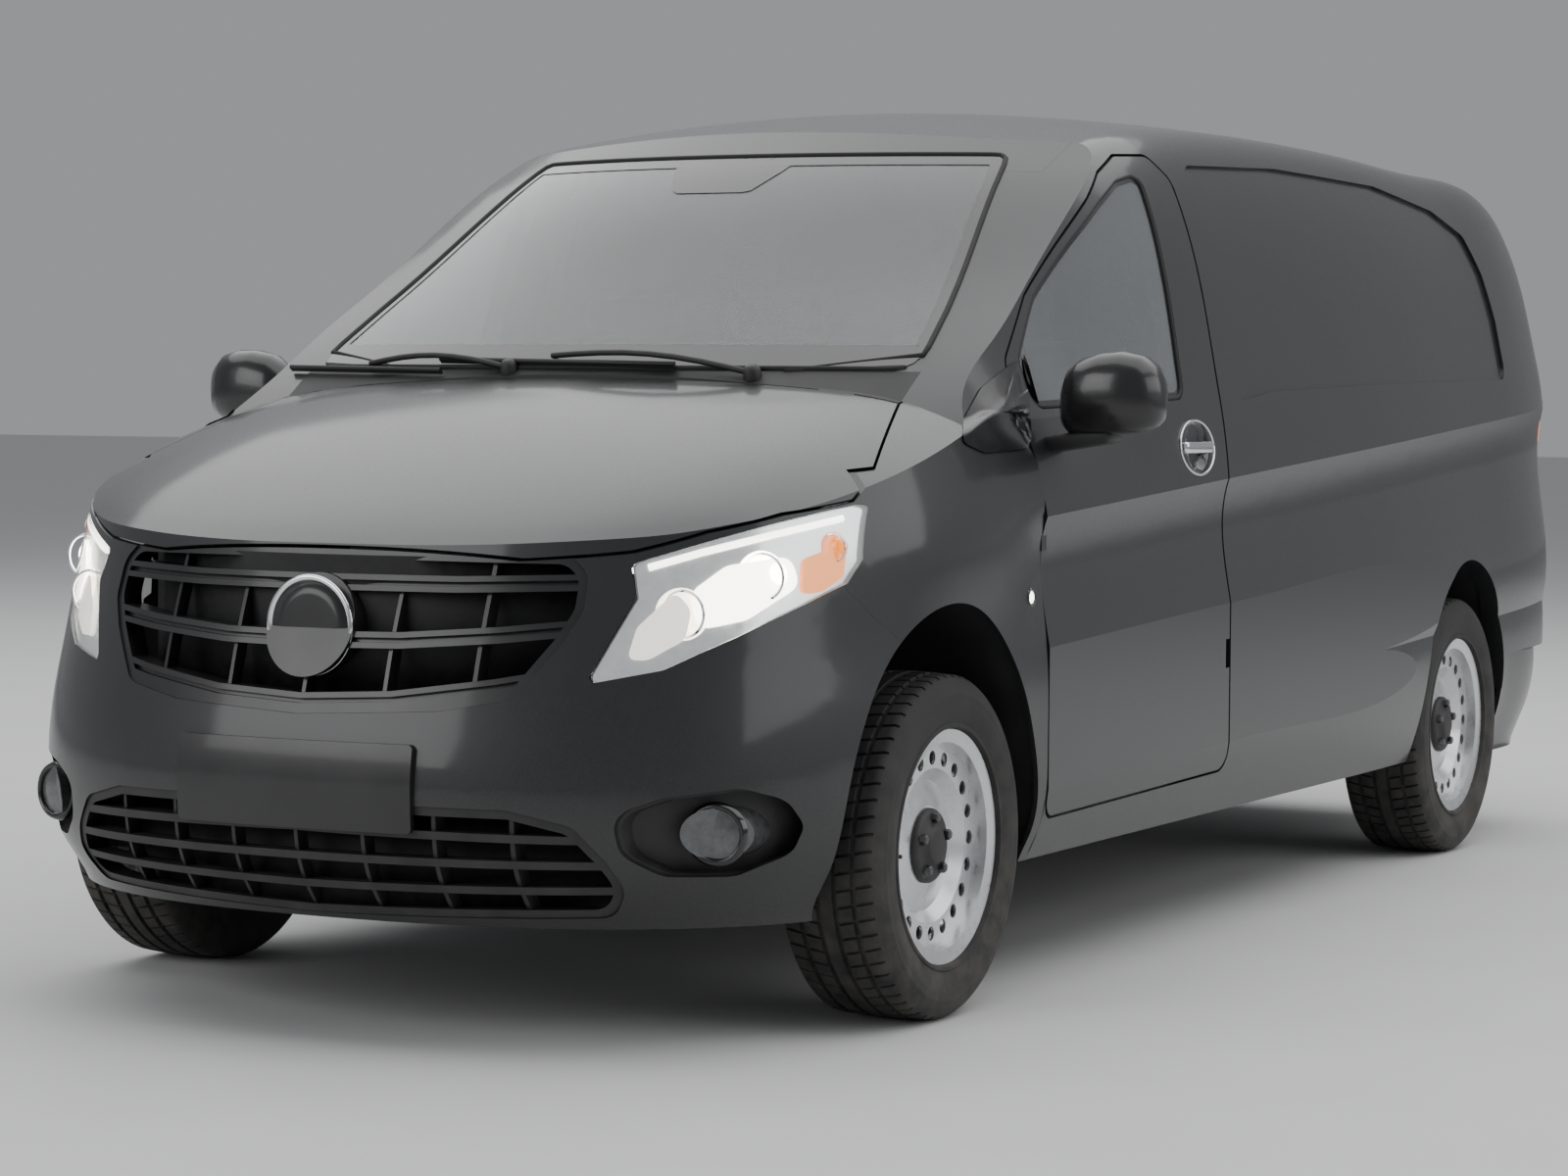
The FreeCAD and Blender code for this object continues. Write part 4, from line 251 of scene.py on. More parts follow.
# Mesh tools

# Lengths below this count as none
TINY = 1e-6
EDGE_ANGLE = 0.6
EDGE_STEPS = 3
CORNER_STEPS = 6
PATCH_RINGS = 5
# The most of a side that one rounded corner takes
CORNER_SIDE_SHARE = 0.45


def piece(name, points, faces, material, body="body", slot=None):
    """A mesh piece that rides on a body."""
    mesh = bpy.data.meshes.new(name)
    mesh.from_pydata([tuple(p) for p in points], [], faces)
    clean = bmesh.new()
    clean.from_mesh(mesh)
    bmesh.ops.remove_doubles(clean, verts=clean.verts, dist=TINY)
    bmesh.ops.recalc_face_normals(clean, faces=clean.faces)
    clean.to_mesh(mesh)
    clean.free()
    mesh.polygons.foreach_set("use_smooth", [True] * len(mesh.polygons))
    made = bpy.data.objects.new(name, mesh)
    bpy.context.scene.collection.objects.link(made)
    mesh.materials.append(MATERIALS[material])
    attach(made, body)
    return made


def thicken(made, thickness):
    modifier = made.modifiers.new("thickness", "SOLIDIFY")
    modifier.thickness = thickness
    modifier.offset = -1.0


def grid_faces(rows, columns, close_rows=False, close_columns=False):
    """Quads between the points of a grid stored row by row."""
    faces = []
    for i in range(rows if close_rows else rows - 1):
        for j in range(columns if close_columns else columns - 1):
            a = i * columns + j
            b = i * columns + (j + 1) % columns
            c = ((i + 1) % rows) * columns + (j + 1) % columns
            d = ((i + 1) % rows) * columns + j
            faces.append((a, b, c, d))
    return faces


def disc_faces(rings, count):
    """Quads between closed rings, and a fan to the last point in the middle of the last ring."""
    last = (rings - 1) * count
    fan = [(last + i, last + (i + 1) % count, rings * count) for i in range(count)]
    return grid_faces(rings, count, False, True) + fan


def lathe(name, profile, centre, axis, material, body="body", segments=48, closed=False):
    """A turned piece: profile gives (radius, place along the axis)."""
    axis = Vector(axis).normalized()
    side = axis.orthogonal().normalized()
    up = axis.cross(side)
    points = []
    for i in range(segments):
        turn = 2 * math.pi * i / segments
        out = side * math.cos(turn) + up * math.sin(turn)
        points += [Vector(centre) + out * r + axis * a for r, a in profile]
    faces = grid_faces(segments, len(profile), True, closed)
    return piece(name, points, faces, material, body)


def tube(name, points, radius, material, body="body", closed=False):
    """A round strip along a smooth line."""
    curve = bpy.data.curves.new(name, "CURVE")
    curve.dimensions = "3D"
    curve.bevel_depth = radius
    curve.bevel_resolution = 3
    curve.use_fill_caps = True
    spline = curve.splines.new("POLY")
    spline.points.add(len(points) - 1)
    for target, p in zip(spline.points, points):
        target.co = (*p, 1.0)
    spline.use_cyclic_u = closed
    spline.use_smooth = True
    made = bpy.data.objects.new(name, curve)
    bpy.context.scene.collection.objects.link(made)
    curve.materials.append(MATERIALS[material])
    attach(made, body)


def rounded_outline(corners, radius):
    """Points round a flat outline whose corners are rounded."""
    count = len(corners)
    points = []
    for i, corner in enumerate(corners):
        corner = Vector(corner)
        before = Vector(corners[i - 1]) - corner
        after = Vector(corners[(i + 1) % count]) - corner
        turn = math.pi - before.angle(after)
        most = CORNER_SIDE_SHARE * min(before.length, after.length)
        reach = min(radius * math.tan(turn / 2), most)
        start = corner + before.normalized() * reach
        end = corner + after.normalized() * reach
        for k in range(CORNER_STEPS + 1):
            t = k / CORNER_STEPS
            points.append(start * (1 - t) ** 2 + corner * 2 * t * (1 - t) + end * t * t)
    return points


def spaced(points, step, closed=True):
    """The line through the points, sampled evenly."""
    line = list(points) + ([points[0]] if closed else [])
    lengths = [0.0]
    for a, b in zip(line, line[1:]):
        lengths.append(lengths[-1] + (b - a).length)
    count = max(int(lengths[-1] / step), 3)
    result = []
    k = 0
    for i in range(count if closed else count + 1):
        place = lengths[-1] * i / count
        while k < len(line) - 2 and lengths[k + 1] < place:
            k += 1
        share = (place - lengths[k]) / max(lengths[k + 1] - lengths[k], TINY)
        result.append(line[k].lerp(line[k + 1], share))
    return result


def moved_outline(points, distance):
    """A closed flat outline moved inwards."""
    count = len(points)
    area = sum(points[i - 1].x * points[i].y - points[i].x * points[i - 1].y for i in range(count))
    sign = math.copysign(1, area)
    result = []
    for i, p in enumerate(points):
        along = (points[(i + 1) % count] - points[i - 1]).normalized()
        result.append(p + Vector((-along.y, along.x)) * distance * sign)
    return result


def camera_axes():
    """The camera's directions: ahead, right and up."""
    level = math.cos(CAMERA_RISE)
    ahead = Vector((math.cos(CAMERA_TURN) * level, math.sin(CAMERA_TURN) * level, math.sin(CAMERA_RISE)))
    right = ahead.cross(Vector((0, 0, 1))).normalized()
    up = right.cross(ahead)
    turned_right = right * math.cos(CAMERA_ROLL) + up * math.sin(CAMERA_ROLL)
    turned_up = up * math.cos(CAMERA_ROLL) - right * math.sin(CAMERA_ROLL)
    return ahead, turned_right, turned_up


class Skin:
    """CAD nodes' surfaces, for setting pieces on them."""

    def __init__(self, *labels):
        points = []
        faces = []
        for label in labels:
            mesh = NODES[label].data
            base = len(points)
            points += [v.co.copy() for v in mesh.vertices]
            faces += [tuple(base + i for i in p.vertices) for p in mesh.polygons]
        self.tree = BVHTree.FromPolygons(points, faces)

    def hit(self, origin, direction):
        """Where a ray from origin meets the surface, or the nearest point of it if the ray misses."""
        origin = Vector(origin)
        direction = Vector(direction).normalized()
        found, normal, _, _ = self.tree.ray_cast(origin, direction)
        if found is None:
            found, normal, _, _ = self.tree.find_nearest(origin + direction * FAR)
        if normal.dot(direction) > 0:
            normal = -normal
        return found, normal

    def side(self, x, z, sign, lift=0.0):
        """A point on a side surface, seen from that side."""
        found, normal = self.hit((x, sign * FAR, z), (0, -sign, 0))
        return found + normal * lift

    def front(self, y, z, lift=0.0):
        found, normal = self.hit((2 * FAR, y, z), (-1, 0, 0))
        return found + normal * lift

    def seen(self, px, py, lift=0.0, sign=1):
        """The point that the camera sees at a place in the picture, or its mirror image."""
        ahead, right, up = camera_axes()
        across = (px - PICTURE_WIDTH / 2) / CAMERA_FOCUS
        above = (PICTURE_HEIGHT / 2 - py) / CAMERA_FOCUS
        found, normal = self.hit(CAMERA_PLACE, ahead + right * across + up * above)
        found = found + normal * lift
        return Vector((found.x, found.y * sign, found.z))

    def rear(self, y, z, lift=0.0):
        found, normal = self.hit((-2 * FAR, y, z), (1, 0, 0))
        return found + normal * lift


def ring_band(name, outer, inner, place, material, body="body", steps=2):
    """A flat band between two outlines of as many points, laid on a surface by the function place."""
    points = []
    for a, b in zip(outer, inner):
        for k in range(steps + 1):
            q = a.lerp(b, k / steps)
            points.append(place(q.x, q.y))
    piece(name, points, grid_faces(len(outer), steps + 1, True), material, body)


def patch(name, corners, radius, place, material, body="body", cell=0.02):
    """A filled outline laid on a surface by the function place."""
    outline = spaced(rounded_outline(corners, radius), cell)
    centre = sum(outline, Vector((0, 0))) / len(outline)
    points = []
    for k in range(PATCH_RINGS):
        share = 1 - k / PATCH_RINGS
        points += [place(*(centre.lerp(p, share))) for p in outline]
    points.append(place(*centre))
    piece(name, points, disc_faces(PATCH_RINGS, len(outline)), material, body)


def soft_box(name, low, high, radius, material, body="body", turn=None, slot=None):
    """A rounded block between two corners, turned about its middle by a matrix."""
    low = Vector(low)
    high = Vector(high)
    centre = (low + high) / 2
    half = (high - low) / 2
    points = []
    for sx in (-1, 1):
        for sy in (-1, 1):
            for sz in (-1, 1):
                p = Vector((sx * half.x, sy * half.y, sz * half.z))
                points.append(centre + (turn @ p if turn else p))
    faces = [(0, 1, 3, 2), (4, 6, 7, 5), (0, 4, 5, 1), (2, 3, 7, 6), (0, 2, 6, 4), (1, 5, 7, 3)]
    made = piece(name, points, faces, material, body, slot=slot)
    edges = made.modifiers.new("edges", "BEVEL")
    edges.width = radius
    edges.segments = EDGE_STEPS
    edges.limit_method = "ANGLE"
    edges.angle_limit = EDGE_ANGLE
    return made


def scaled(points, scale_a, scale_b):
    """Shares of two lengths as flat points."""
    return [Vector((a * scale_a, b * scale_b)) for a, b in points]


# Tyres with tread, and what sits on the wheels

TYRE_RADIUS = 0.339
# Each axle's place along the vehicle and half its track
AXLES = {"front": (1.675, 0.833), "rear": (-1.525, 0.823)}
WHEELS = {(end, side): Vector((x, sign * half_track, TYRE_RADIUS))
          for end, (x, half_track) in AXLES.items() for side, sign in SIDES}
PITCHES = 64
PITCH_PLACE_SHARES = (0.0, 0.08, 0.11, 0.25, 0.28, 0.62)
GROOVE_STEPS = (2, 3)
# (place across, radius) of the sidewall, and (place across, in a ring groove) of half the tread
SIDEWALL = ((0.1000, 0.2300), (0.1060, 0.2330), (0.1066, 0.2395), (0.1040, 0.2420), (0.1085, 0.2560),
            (0.1118, 0.2720), (0.1124, 0.2850), (0.1116, 0.2950), (0.1122, 0.2975), (0.1112, 0.3000),
            (0.1086, 0.3110), (0.1040, 0.3210), (0.0975, 0.3290))
TREAD_HALF = ((0.0905, 0), (0.0800, 0), (0.0640, 0), (0.0612, 1), (0.0548, 1), (0.0520, 0), (0.0380, 0),
              (0.0238, 0), (0.0214, 1), (0.0146, 1), (0.0122, 0), (0.0, 0))
TREAD = [(-y, g) for y, g in TREAD_HALF] + [(y, g) for y, g in reversed(TREAD_HALF[:-1])]
TREAD_HALF_WIDTH = 0.0905
TREAD_CROWN = 0.0045
GROOVE_DEPTH = 0.0075
LATERAL_DEPTH = 0.0060
LATERAL_START = 0.0235
SLANT_SHARE = 0.55
SLANT_END = 0.09
TREAD_EDGE_ANGLE = math.radians(38)


def tyre_ring(in_lateral):
    """The tyre's closed cross-section: (place across, radius) with the lateral grooves where in_lateral."""
    ring = [(-y, r) for y, r in SIDEWALL]
    for y, grooved in TREAD:
        radius = TYRE_RADIUS - TREAD_CROWN * (abs(y) / TREAD_HALF_WIDTH) ** 2
        if grooved:
            radius -= GROOVE_DEPTH
        elif in_lateral and abs(y) > LATERAL_START:
            radius -= LATERAL_DEPTH
        ring.append((y, radius))
    ring += [(y, r) for y, r in reversed(SIDEWALL)]
    return ring


def make_tyre(end, side, centre):
    """A tyre with ring grooves and slanted lateral grooves, in the place of the plain one."""
    points = []
    for pitch in range(PITCHES):
        for k, place in enumerate(PITCH_PLACE_SHARES):
            for y, radius in tyre_ring(k in GROOVE_STEPS):
                slant = SLANT_SHARE * min(abs(y) / SLANT_END, 1)
                turn = 2 * math.pi * (pitch + place + slant) / PITCHES
                points.append(centre + Vector((radius * math.cos(turn), y, radius * math.sin(turn))))
    rows = PITCHES * len(PITCH_PLACE_SHARES)
    columns = len(points) // rows
    made = piece(f"tyre_tread_{end}_{side}", points, grid_faces(rows, columns, True, True), "tyre",
                 f"wheel_{end}_{side}", slot="rubber_black")
    made.modifiers.new("flat", "EDGE_SPLIT").split_angle = TREAD_EDGE_ANGLE
    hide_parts(f"tyre_{end}_{side}")


HUB_FACE = 0.0534
CAP_PROFILE = ((0.0, 0.026), (0.030, 0.0255), (0.036, 0.023), (0.040, 0.017), (0.062, 0.014), (0.070, 0.0115),
               (0.0735, 0.006), (0.0735, 0.0004))
BOLTS = 5
BOLT_CIRCLE = 0.056
BOLT_RISE = 0.014
BOLT_START_SHARE = 0.25
BOLT_PROFILE = ((0.0, 0.013), (0.0085, 0.0125), (0.0105, 0.010), (0.011, 0.0), (0.015, -0.001),
                (0.016, -0.004))
BEAD_PROFILE = ((0.2040, 0.0880), (0.2062, 0.0900), (0.2080, 0.0880), (0.2062, 0.0862))
VALVE_RADIUS = 0.192
VALVE_FACE = 0.062
VALVE_PROFILE = ((0.0, 0.030), (0.004, 0.030), (0.0042, 0.012), (0.0055, 0.010), (0.0055, 0.0))


def make_hub(end, side, sign, centre):
    """The dark centre cap, the wheel bolts round it, the rim's bright edge and the valve."""
    body = f"wheel_{end}_{side}"
    tag = f"{end}_{side}"
    face = centre + Vector((0, sign * HUB_FACE, 0))
    axis = (0, sign, 0)
    lathe(f"hub_cap_{tag}", CAP_PROFILE, face, axis, "plastic", body)
    for k in range(BOLTS):
        turn = 2 * math.pi * (k + BOLT_START_SHARE) / BOLTS
        place = face + Vector((BOLT_CIRCLE * math.cos(turn), sign * BOLT_RISE, BOLT_CIRCLE * math.sin(turn)))
        made = lathe(f"wheel_bolt_{k}_{tag}", BOLT_PROFILE, place, axis, "bolt", body, segments=6)
        made.data.polygons.foreach_set("use_smooth", [False] * len(made.data.polygons))
    lathe(f"rim_bead_{tag}", BEAD_PROFILE, centre, axis, "wheel_silver", body, segments=96, closed=True)
    stem = centre + Vector((VALVE_RADIUS, sign * VALVE_FACE, 0))
    lathe(f"valve_{tag}", VALVE_PROFILE, stem, axis, "rubber", body, segments=12)


for (end, side), centre in WHEELS.items():
    make_tyre(end, side, centre)
    make_hub(end, side, dict(SIDES)[side], centre)


# Glass edges: black bands, seals and the sensor housing

SCREEN_OUTLINE = scaled(((-0.762, 0.667), (0.762, 0.667), (0.728, 0.737), (0.676, 0.822), (0.633, 0.893),
                         (0.612, 0.923), (-0.612, 0.923), (-0.633, 0.893), (-0.676, 0.822), (-0.728, 0.737)),
                        HALF_WIDTH, HEIGHT)
WINDOW_OUTLINE = scaled(((0.178, 0.638), (0.466, 0.627), (0.461, 0.684), (0.402, 0.754), (0.318, 0.8175),
                         (0.25, 0.866), (0.206, 0.893), (0.171, 0.902), (0.158, 0.894), (0.167, 0.80)),
                        HALF_LENGTH, HEIGHT)
OUTLINE_RADIUS = 0.045
OUTLINE_STEP = 0.02
SCREEN = Skin("windscreen")
LIFT = 0.0015
# How far inside the glass's edge each band starts and ends, and the seal's place, lift and radius
SCREEN_BAND = (0.006, 0.030)
SCREEN_SEAL = (0.005, 0.0005, 0.0060)
WINDOW_BAND = (0.002, 0.016)
WINDOW_SEAL = (0.004, 0.001, 0.0055)
# The screen's band is deeper at its base: how high the base is, how it fades and how much is added
SCREEN_BASE = 1.262
SCREEN_BASE_FADE = 0.05
SCREEN_BASE_ADDED = Vector((0, 0.055))
SENSOR_OUTLINE = ((-0.16, 1.742), (0.16, 1.742), (0.135, 1.700), (0.095, 1.652), (-0.095, 1.652),
                  (-0.135, 1.700))
SENSOR_RADIUS = 0.02


def make_screen_trim():
    """The black edge band, deeper at its base, the seal round it and the sensor housing."""

    def place(y, z):
        return SCREEN.front(y, z, LIFT)

    edge = spaced(rounded_outline(SCREEN_OUTLINE, OUTLINE_RADIUS), OUTLINE_STEP)
    start, end = SCREEN_BAND
    inner = []
    for q in moved_outline(edge, end):
        low = 1 - min(max((q.y - SCREEN_BASE) / SCREEN_BASE_FADE, 0), 1)
        inner.append(q + SCREEN_BASE_ADDED * low)
    ring_band("screen_band", moved_outline(edge, start), inner, place, "plastic_gloss", steps=3)
    distance, lift, radius = SCREEN_SEAL
    seal = [SCREEN.front(p.x, p.y, lift) for p in moved_outline(edge, distance)]
    tube("screen_seal", seal, radius, "rubber", closed=True)
    patch("sensor_patch", SENSOR_OUTLINE, SENSOR_RADIUS, place, "plastic_gloss")


def make_window_trim(side, sign):
    """The seal round a cab door's window and the dark band inside it."""
    glass = Skin(f"door_glass_{side}")
    body = f"door_{side}"
    edge = spaced(rounded_outline(WINDOW_OUTLINE, OUTLINE_RADIUS), OUTLINE_STEP)
    distance, lift, radius = WINDOW_SEAL
    line = [glass.side(p.x, p.y, sign, lift) for p in moved_outline(edge, distance)]
    tube(f"window_seal_{side}", line, radius, "rubber", body, closed=True)
    outer, inner = [moved_outline(edge, distance) for distance in WINDOW_BAND]
    ring_band(f"window_band_{side}", outer, inner, lambda x, z: glass.side(x, z, sign, LIFT), "plastic_gloss",
              body)


make_screen_trim()
for side, sign in SIDES:
    make_window_trim(side, sign)


# Wipers, laid out on the picture

BASE = Skin("windscreen", "cowl", "side_left", "side_right", "roof")
BLADE_RISE = 0.014
BLADE_RADIUS = 0.0055
RUBBER_RISE = 0.007
RUBBER_RADIUS = 0.0035
ARM_LIFT = 0.008
ARM_BOW = 0.026
ARM_RADIUS = 0.0065
BLADE_POINTS = 13
ARM_POINTS = 9
PIVOT_PROFILE = ((0.0, 0.024), (0.012, 0.023), (0.018, 0.015), (0.020, -0.004))
PIVOT_AXIS = (0.35, 0, 1)
# Picture places of a blade's two ends, its arm's pivot and its arm's tip
WIPERS = {
    "wiper_left": ((452, 372), (690, 377), (768, 384), (565, 366)),
    "wiper_right": ((300, 380), (452, 383), (520, 378), (380, 374)),
}


def seen_line(start, end, count, lift, bow=0.0):
    """Points on the screen from start to end in the picture, lifted, and more so in the middle."""
    line = []
    for k in range(count):
        t = k / (count - 1)
        p = Vector(start).lerp(Vector(end), t)
        line.append(BASE.seen(p.x, p.y, lift + bow * math.sin(math.pi * t)))
    return line


def make_wiper(name, blade_start, blade_end, pivot, tip):
    """A blade with its rubber lip, and its arm and pivot."""
    blade = seen_line(blade_start, blade_end, BLADE_POINTS, BLADE_RISE)
    tube(f"{name}_blade", blade, BLADE_RADIUS, "plastic")
    lip = seen_line(blade_start, blade_end, BLADE_POINTS, RUBBER_RISE)
    tube(f"{name}_rubber", lip, RUBBER_RADIUS, "rubber")
    tube(f"{name}_arm", seen_line(pivot, tip, ARM_POINTS, ARM_LIFT, ARM_BOW), ARM_RADIUS, "plastic")
    lathe(f"{name}_hub", PIVOT_PROFILE, BASE.seen(*pivot), PIVOT_AXIS, "plastic", segments=24)


for name, places in WIPERS.items():
    make_wiper(name, *places)


# Grille: dark backings, and the bare round cap with a bright rim

# Name, place ahead at its middle, how far its ends fall back, half width, lower and upper edge
BACKINGS = (
    ("grille_backing", 2.448, 0.183, 0.515, 0.632, 0.912),
    ("lower_backing", 2.463, 0.215, 0.600, 0.250, 0.458),
)
BACKING_STEPS = 24
BACKING_POWER = 2.4
BACKING_THICKNESS = 0.004
CAP_CENTRE = (0.0, 0.780)
CAP_RADIUS = 0.096
# (past the cap's radius, ahead of its face) of the rim, and (radius, ahead of its face) of the dish
CAP_RIM = ((-0.012, -0.001), (-0.008, 0.0022), (-0.002, 0.0022), (0.0005, -0.001), (-0.002, -0.010),
           (-0.012, -0.010))
CAP_DISH = ((0.0, 0.0012), (0.0576, 0.0008), (0.083, -0.0005), (0.083, -0.006))


def make_grille_backing():
    """Dark screens behind the bars of both grilles."""
    for name, ahead, fall, half, low, top in BACKINGS:
        points = []
        for i in range(BACKING_STEPS + 1):
            y = half * (2 * i / BACKING_STEPS - 1)
            x = ahead - fall * abs(y / half) ** BACKING_POWER
            points += [(x, y, low), (x, y, (low + top) / 2), (x, y, top)]
        thicken(piece(name, points, grid_faces(BACKING_STEPS + 1, 3), "dark_core"), BACKING_THICKNESS)


def make_cap_rim():
    face = Skin("grille").front(*CAP_CENTRE)
    rim = [(CAP_RADIUS + out, ahead) for out, ahead in CAP_RIM]
    lathe("cap_rim", rim, face, AHEAD, "chrome", segments=96, closed=True)
    lathe("cap_dish", CAP_DISH, face, AHEAD, "grille_black", segments=96)


make_grille_backing()
make_cap_rim()


# Front lamps

LENS = Skin("headlamp_lenses")
# Each bowl's place across, its height and its radius as shares, and the finish of its lens
LAMP_BOWL_SHARES = (
    (0.70, 0.430, 0.026, "lamp_warm"),
    (0.805, 0.465, 0.026, "lamp_lit"),
    (0.885, 0.492, 0.016, "amber"),
)
BOWL_DEPTH = Vector((0.016, 0, 0))
DOME_DEPTH = Vector((0.006, 0, 0))
# The bowl's ring as (share of its radius, ahead of its rim), and the dome in shares of the radius
BOWL_RING = ((0.80, -0.004), (0.86, 0.0), (0.93, -0.004), (0.86, -0.010))
DOME_SHARES = ((0.0, 0.02), (0.3, -0.03), (0.55, -0.20), (0.68, -0.42), (0.70, -0.60))
# Name, finish, corner radius and outline of what glows in a lamp, laid out on the picture
LAMP_PATCHES = (
    ("amber", "amber", 8.0, ((821, 570), (866, 553), (862, 588), (840, 604), (819, 606))),
    ("burst", "lamp_burst", 16.0, ((706, 603), (742, 577), (808, 567), (817, 598), (764, 632), (712, 642))),
    ("haze", "lamp_haze", 16.0, ((650, 640), (690, 603), (706, 622), (700, 652), (662, 672), (640, 672))),
)
LAMP_PATCH_CELL = 4.0
STRIP_PICTURE = ((662, 578), (720, 562), (790, 545), (862, 528))
STRIP_STEP = 8.0
STRIP_RADIUS = 0.0065
LENS_DEPTH = 0.0048
STRIP_DEPTH = 0.0088


def lamp_bowl(tag, sign, number, bowl):
    """What is in one bowl: a bright ring, and a lit lens or reflector."""
    y_share, z_share, radius_share, lens_finish = bowl
    radius = radius_share * HEIGHT
    rim = LENS.front(y_share * HALF_WIDTH * sign, z_share * HEIGHT) - BOWL_DEPTH
    ring = [(radius * share, ahead) for share, ahead in BOWL_RING]
    lathe(f"lamp_ring_{number}_{tag}", ring, rim, AHEAD, "chrome", closed=True)
    dome = [(radius * share, radius * ahead) for share, ahead in DOME_SHARES]
    lathe(f"lamp_light_{number}_{tag}", dome, rim - DOME_DEPTH, AHEAD, lens_finish, segments=40)


def make_headlamp(side, sign):
    for number, bowl in enumerate(LAMP_BOWL_SHARES):
        lamp_bowl(side, sign, number, bowl)
    for name, material, radius, picture in LAMP_PATCHES:
        patch(f"lamp_{name}_{side}", picture, radius, lambda x, y: LENS.seen(x, y, -LENS_DEPTH, sign),
              material, cell=LAMP_PATCH_CELL)
    strip = spaced([Vector(p) for p in STRIP_PICTURE], STRIP_STEP, False)
    line = [LENS.seen(p.x, p.y, -STRIP_DEPTH, sign) for p in strip]
    tube(f"lamp_strip_{side}", line, STRIP_RADIUS, "lamp_strip")


SMALL = Skin("small_lamps")
FOG_CENTRE_SHARES = (0.778, 0.2185)
FOG_TURN = 0.25
FOG_BEZEL = ((0.046, -0.012), (0.046, 0.004), (0.050, 0.009), (0.056, 0.006), (0.060, -0.004))
FOG_LENS = ((0.0, 0.0035), (0.020, 0.003), (0.036, 0.0015), (0.045, 0.0))
SIDE_LAMP_CENTRE = (1.330, 0.809)
SIDE_LAMP_LENS = ((0.0, 0.0045), (0.007, 0.0035), (0.012, 0.001), (0.0135, -0.001))
SIDE_LAMP_RING = ((0.013, 0.0), (0.0145, 0.0028), (0.018, 0.0026), (0.0195, -0.001))


def make_fog_lamp(side, sign):
    y_share, z_share = FOG_CENTRE_SHARES
    face = SMALL.front(y_share * HALF_WIDTH * sign, z_share * HEIGHT)
    axis = (1, FOG_TURN * sign, 0)
    lathe(f"fog_bezel_{side}", FOG_BEZEL, face, axis, "plastic_gloss")
    lathe(f"fog_lens_{side}", FOG_LENS, face, axis, "fog_grey", segments=40)


def make_side_lamp(side, sign):
    """The round lamp on the wing and its dark ring."""
    face = SMALL.side(*SIDE_LAMP_CENTRE, sign)
    axis = (0, sign, 0)
    lathe(f"side_lamp_{side}", SIDE_LAMP_LENS, face, axis, "lamp_strip", segments=32)
    lathe(f"side_lamp_ring_{side}", SIDE_LAMP_RING, face, axis, "plastic_gloss", segments=32)


for side, sign in SIDES:
    make_headlamp(side, sign)
    make_fog_lamp(side, sign)
    make_side_lamp(side, sign)


# Body trims

LEFT_SKIN = Skin("side_left", "wing_left", "bonnet", "door_left", "cowl")
PILLAR_PICTURE = ((1043, 362), (1050, 418), (1052, 458), (1004, 463), (981, 452), (984, 425), (1000, 396))
PILLAR_RADIUS = 9.0
PILLAR_CELL = 3.0
PILLAR_LIFT = 0.0035


def make_pillar_patch(side, sign):
    """The black plate at the foot of the screen pillar, ahead of the door's window."""
    patch(f"pillar_trim_{side}", PILLAR_PICTURE, PILLAR_RADIUS,
          lambda x, y: LEFT_SKIN.seen(x, y, PILLAR_LIFT, sign), "mirror_black", cell=PILLAR_CELL)


HANDLE_X = 0.430
SLIDER_HANDLE_X = 0.10
HANDLE_HEIGHT = 1.100
HANDLE_RADIUS = 0.060
HANDLE_REACH = 0.096
HANDLE_RINGS = 9
HANDLE_POINTS = 48
HANDLE_LIFT = 0.0012
HANDLE_RING_RADIUS = 0.0028
DOOR_BOWL_DEPTH = 0.022
SLIDER_BOWL_DEPTH = 0.0012
BOWL_EDGE_SHARE = 0.97
BOWL_STEEPNESS = 2.2
# Where the panel's slope is measured, and where the grip's height above the bowl is taken
SLOPE_REACH_SHARE = 1.15
GRIP_REACH_SHARE = 1.2
GRIP_LIFT = 0.001
GRIP_HALF = Vector((0.078, 0.009, 0.0135))
GRIP_ROUND = 0.008


def panel_plane(skin, x, z, sign):
    """The side surface's middle and its slopes along x and z, about a place on it."""
    step = HANDLE_RADIUS * SLOPE_REACH_SHARE
    ahead = skin.side(x + step, z, sign)
    behind = skin.side(x - step, z, sign)
    rise = skin.side(x, z + step, sign) - skin.side(x, z - step, sign)
    return (ahead + behind) / 2, (ahead - behind).y / (2 * step), rise.y / (2 * step)


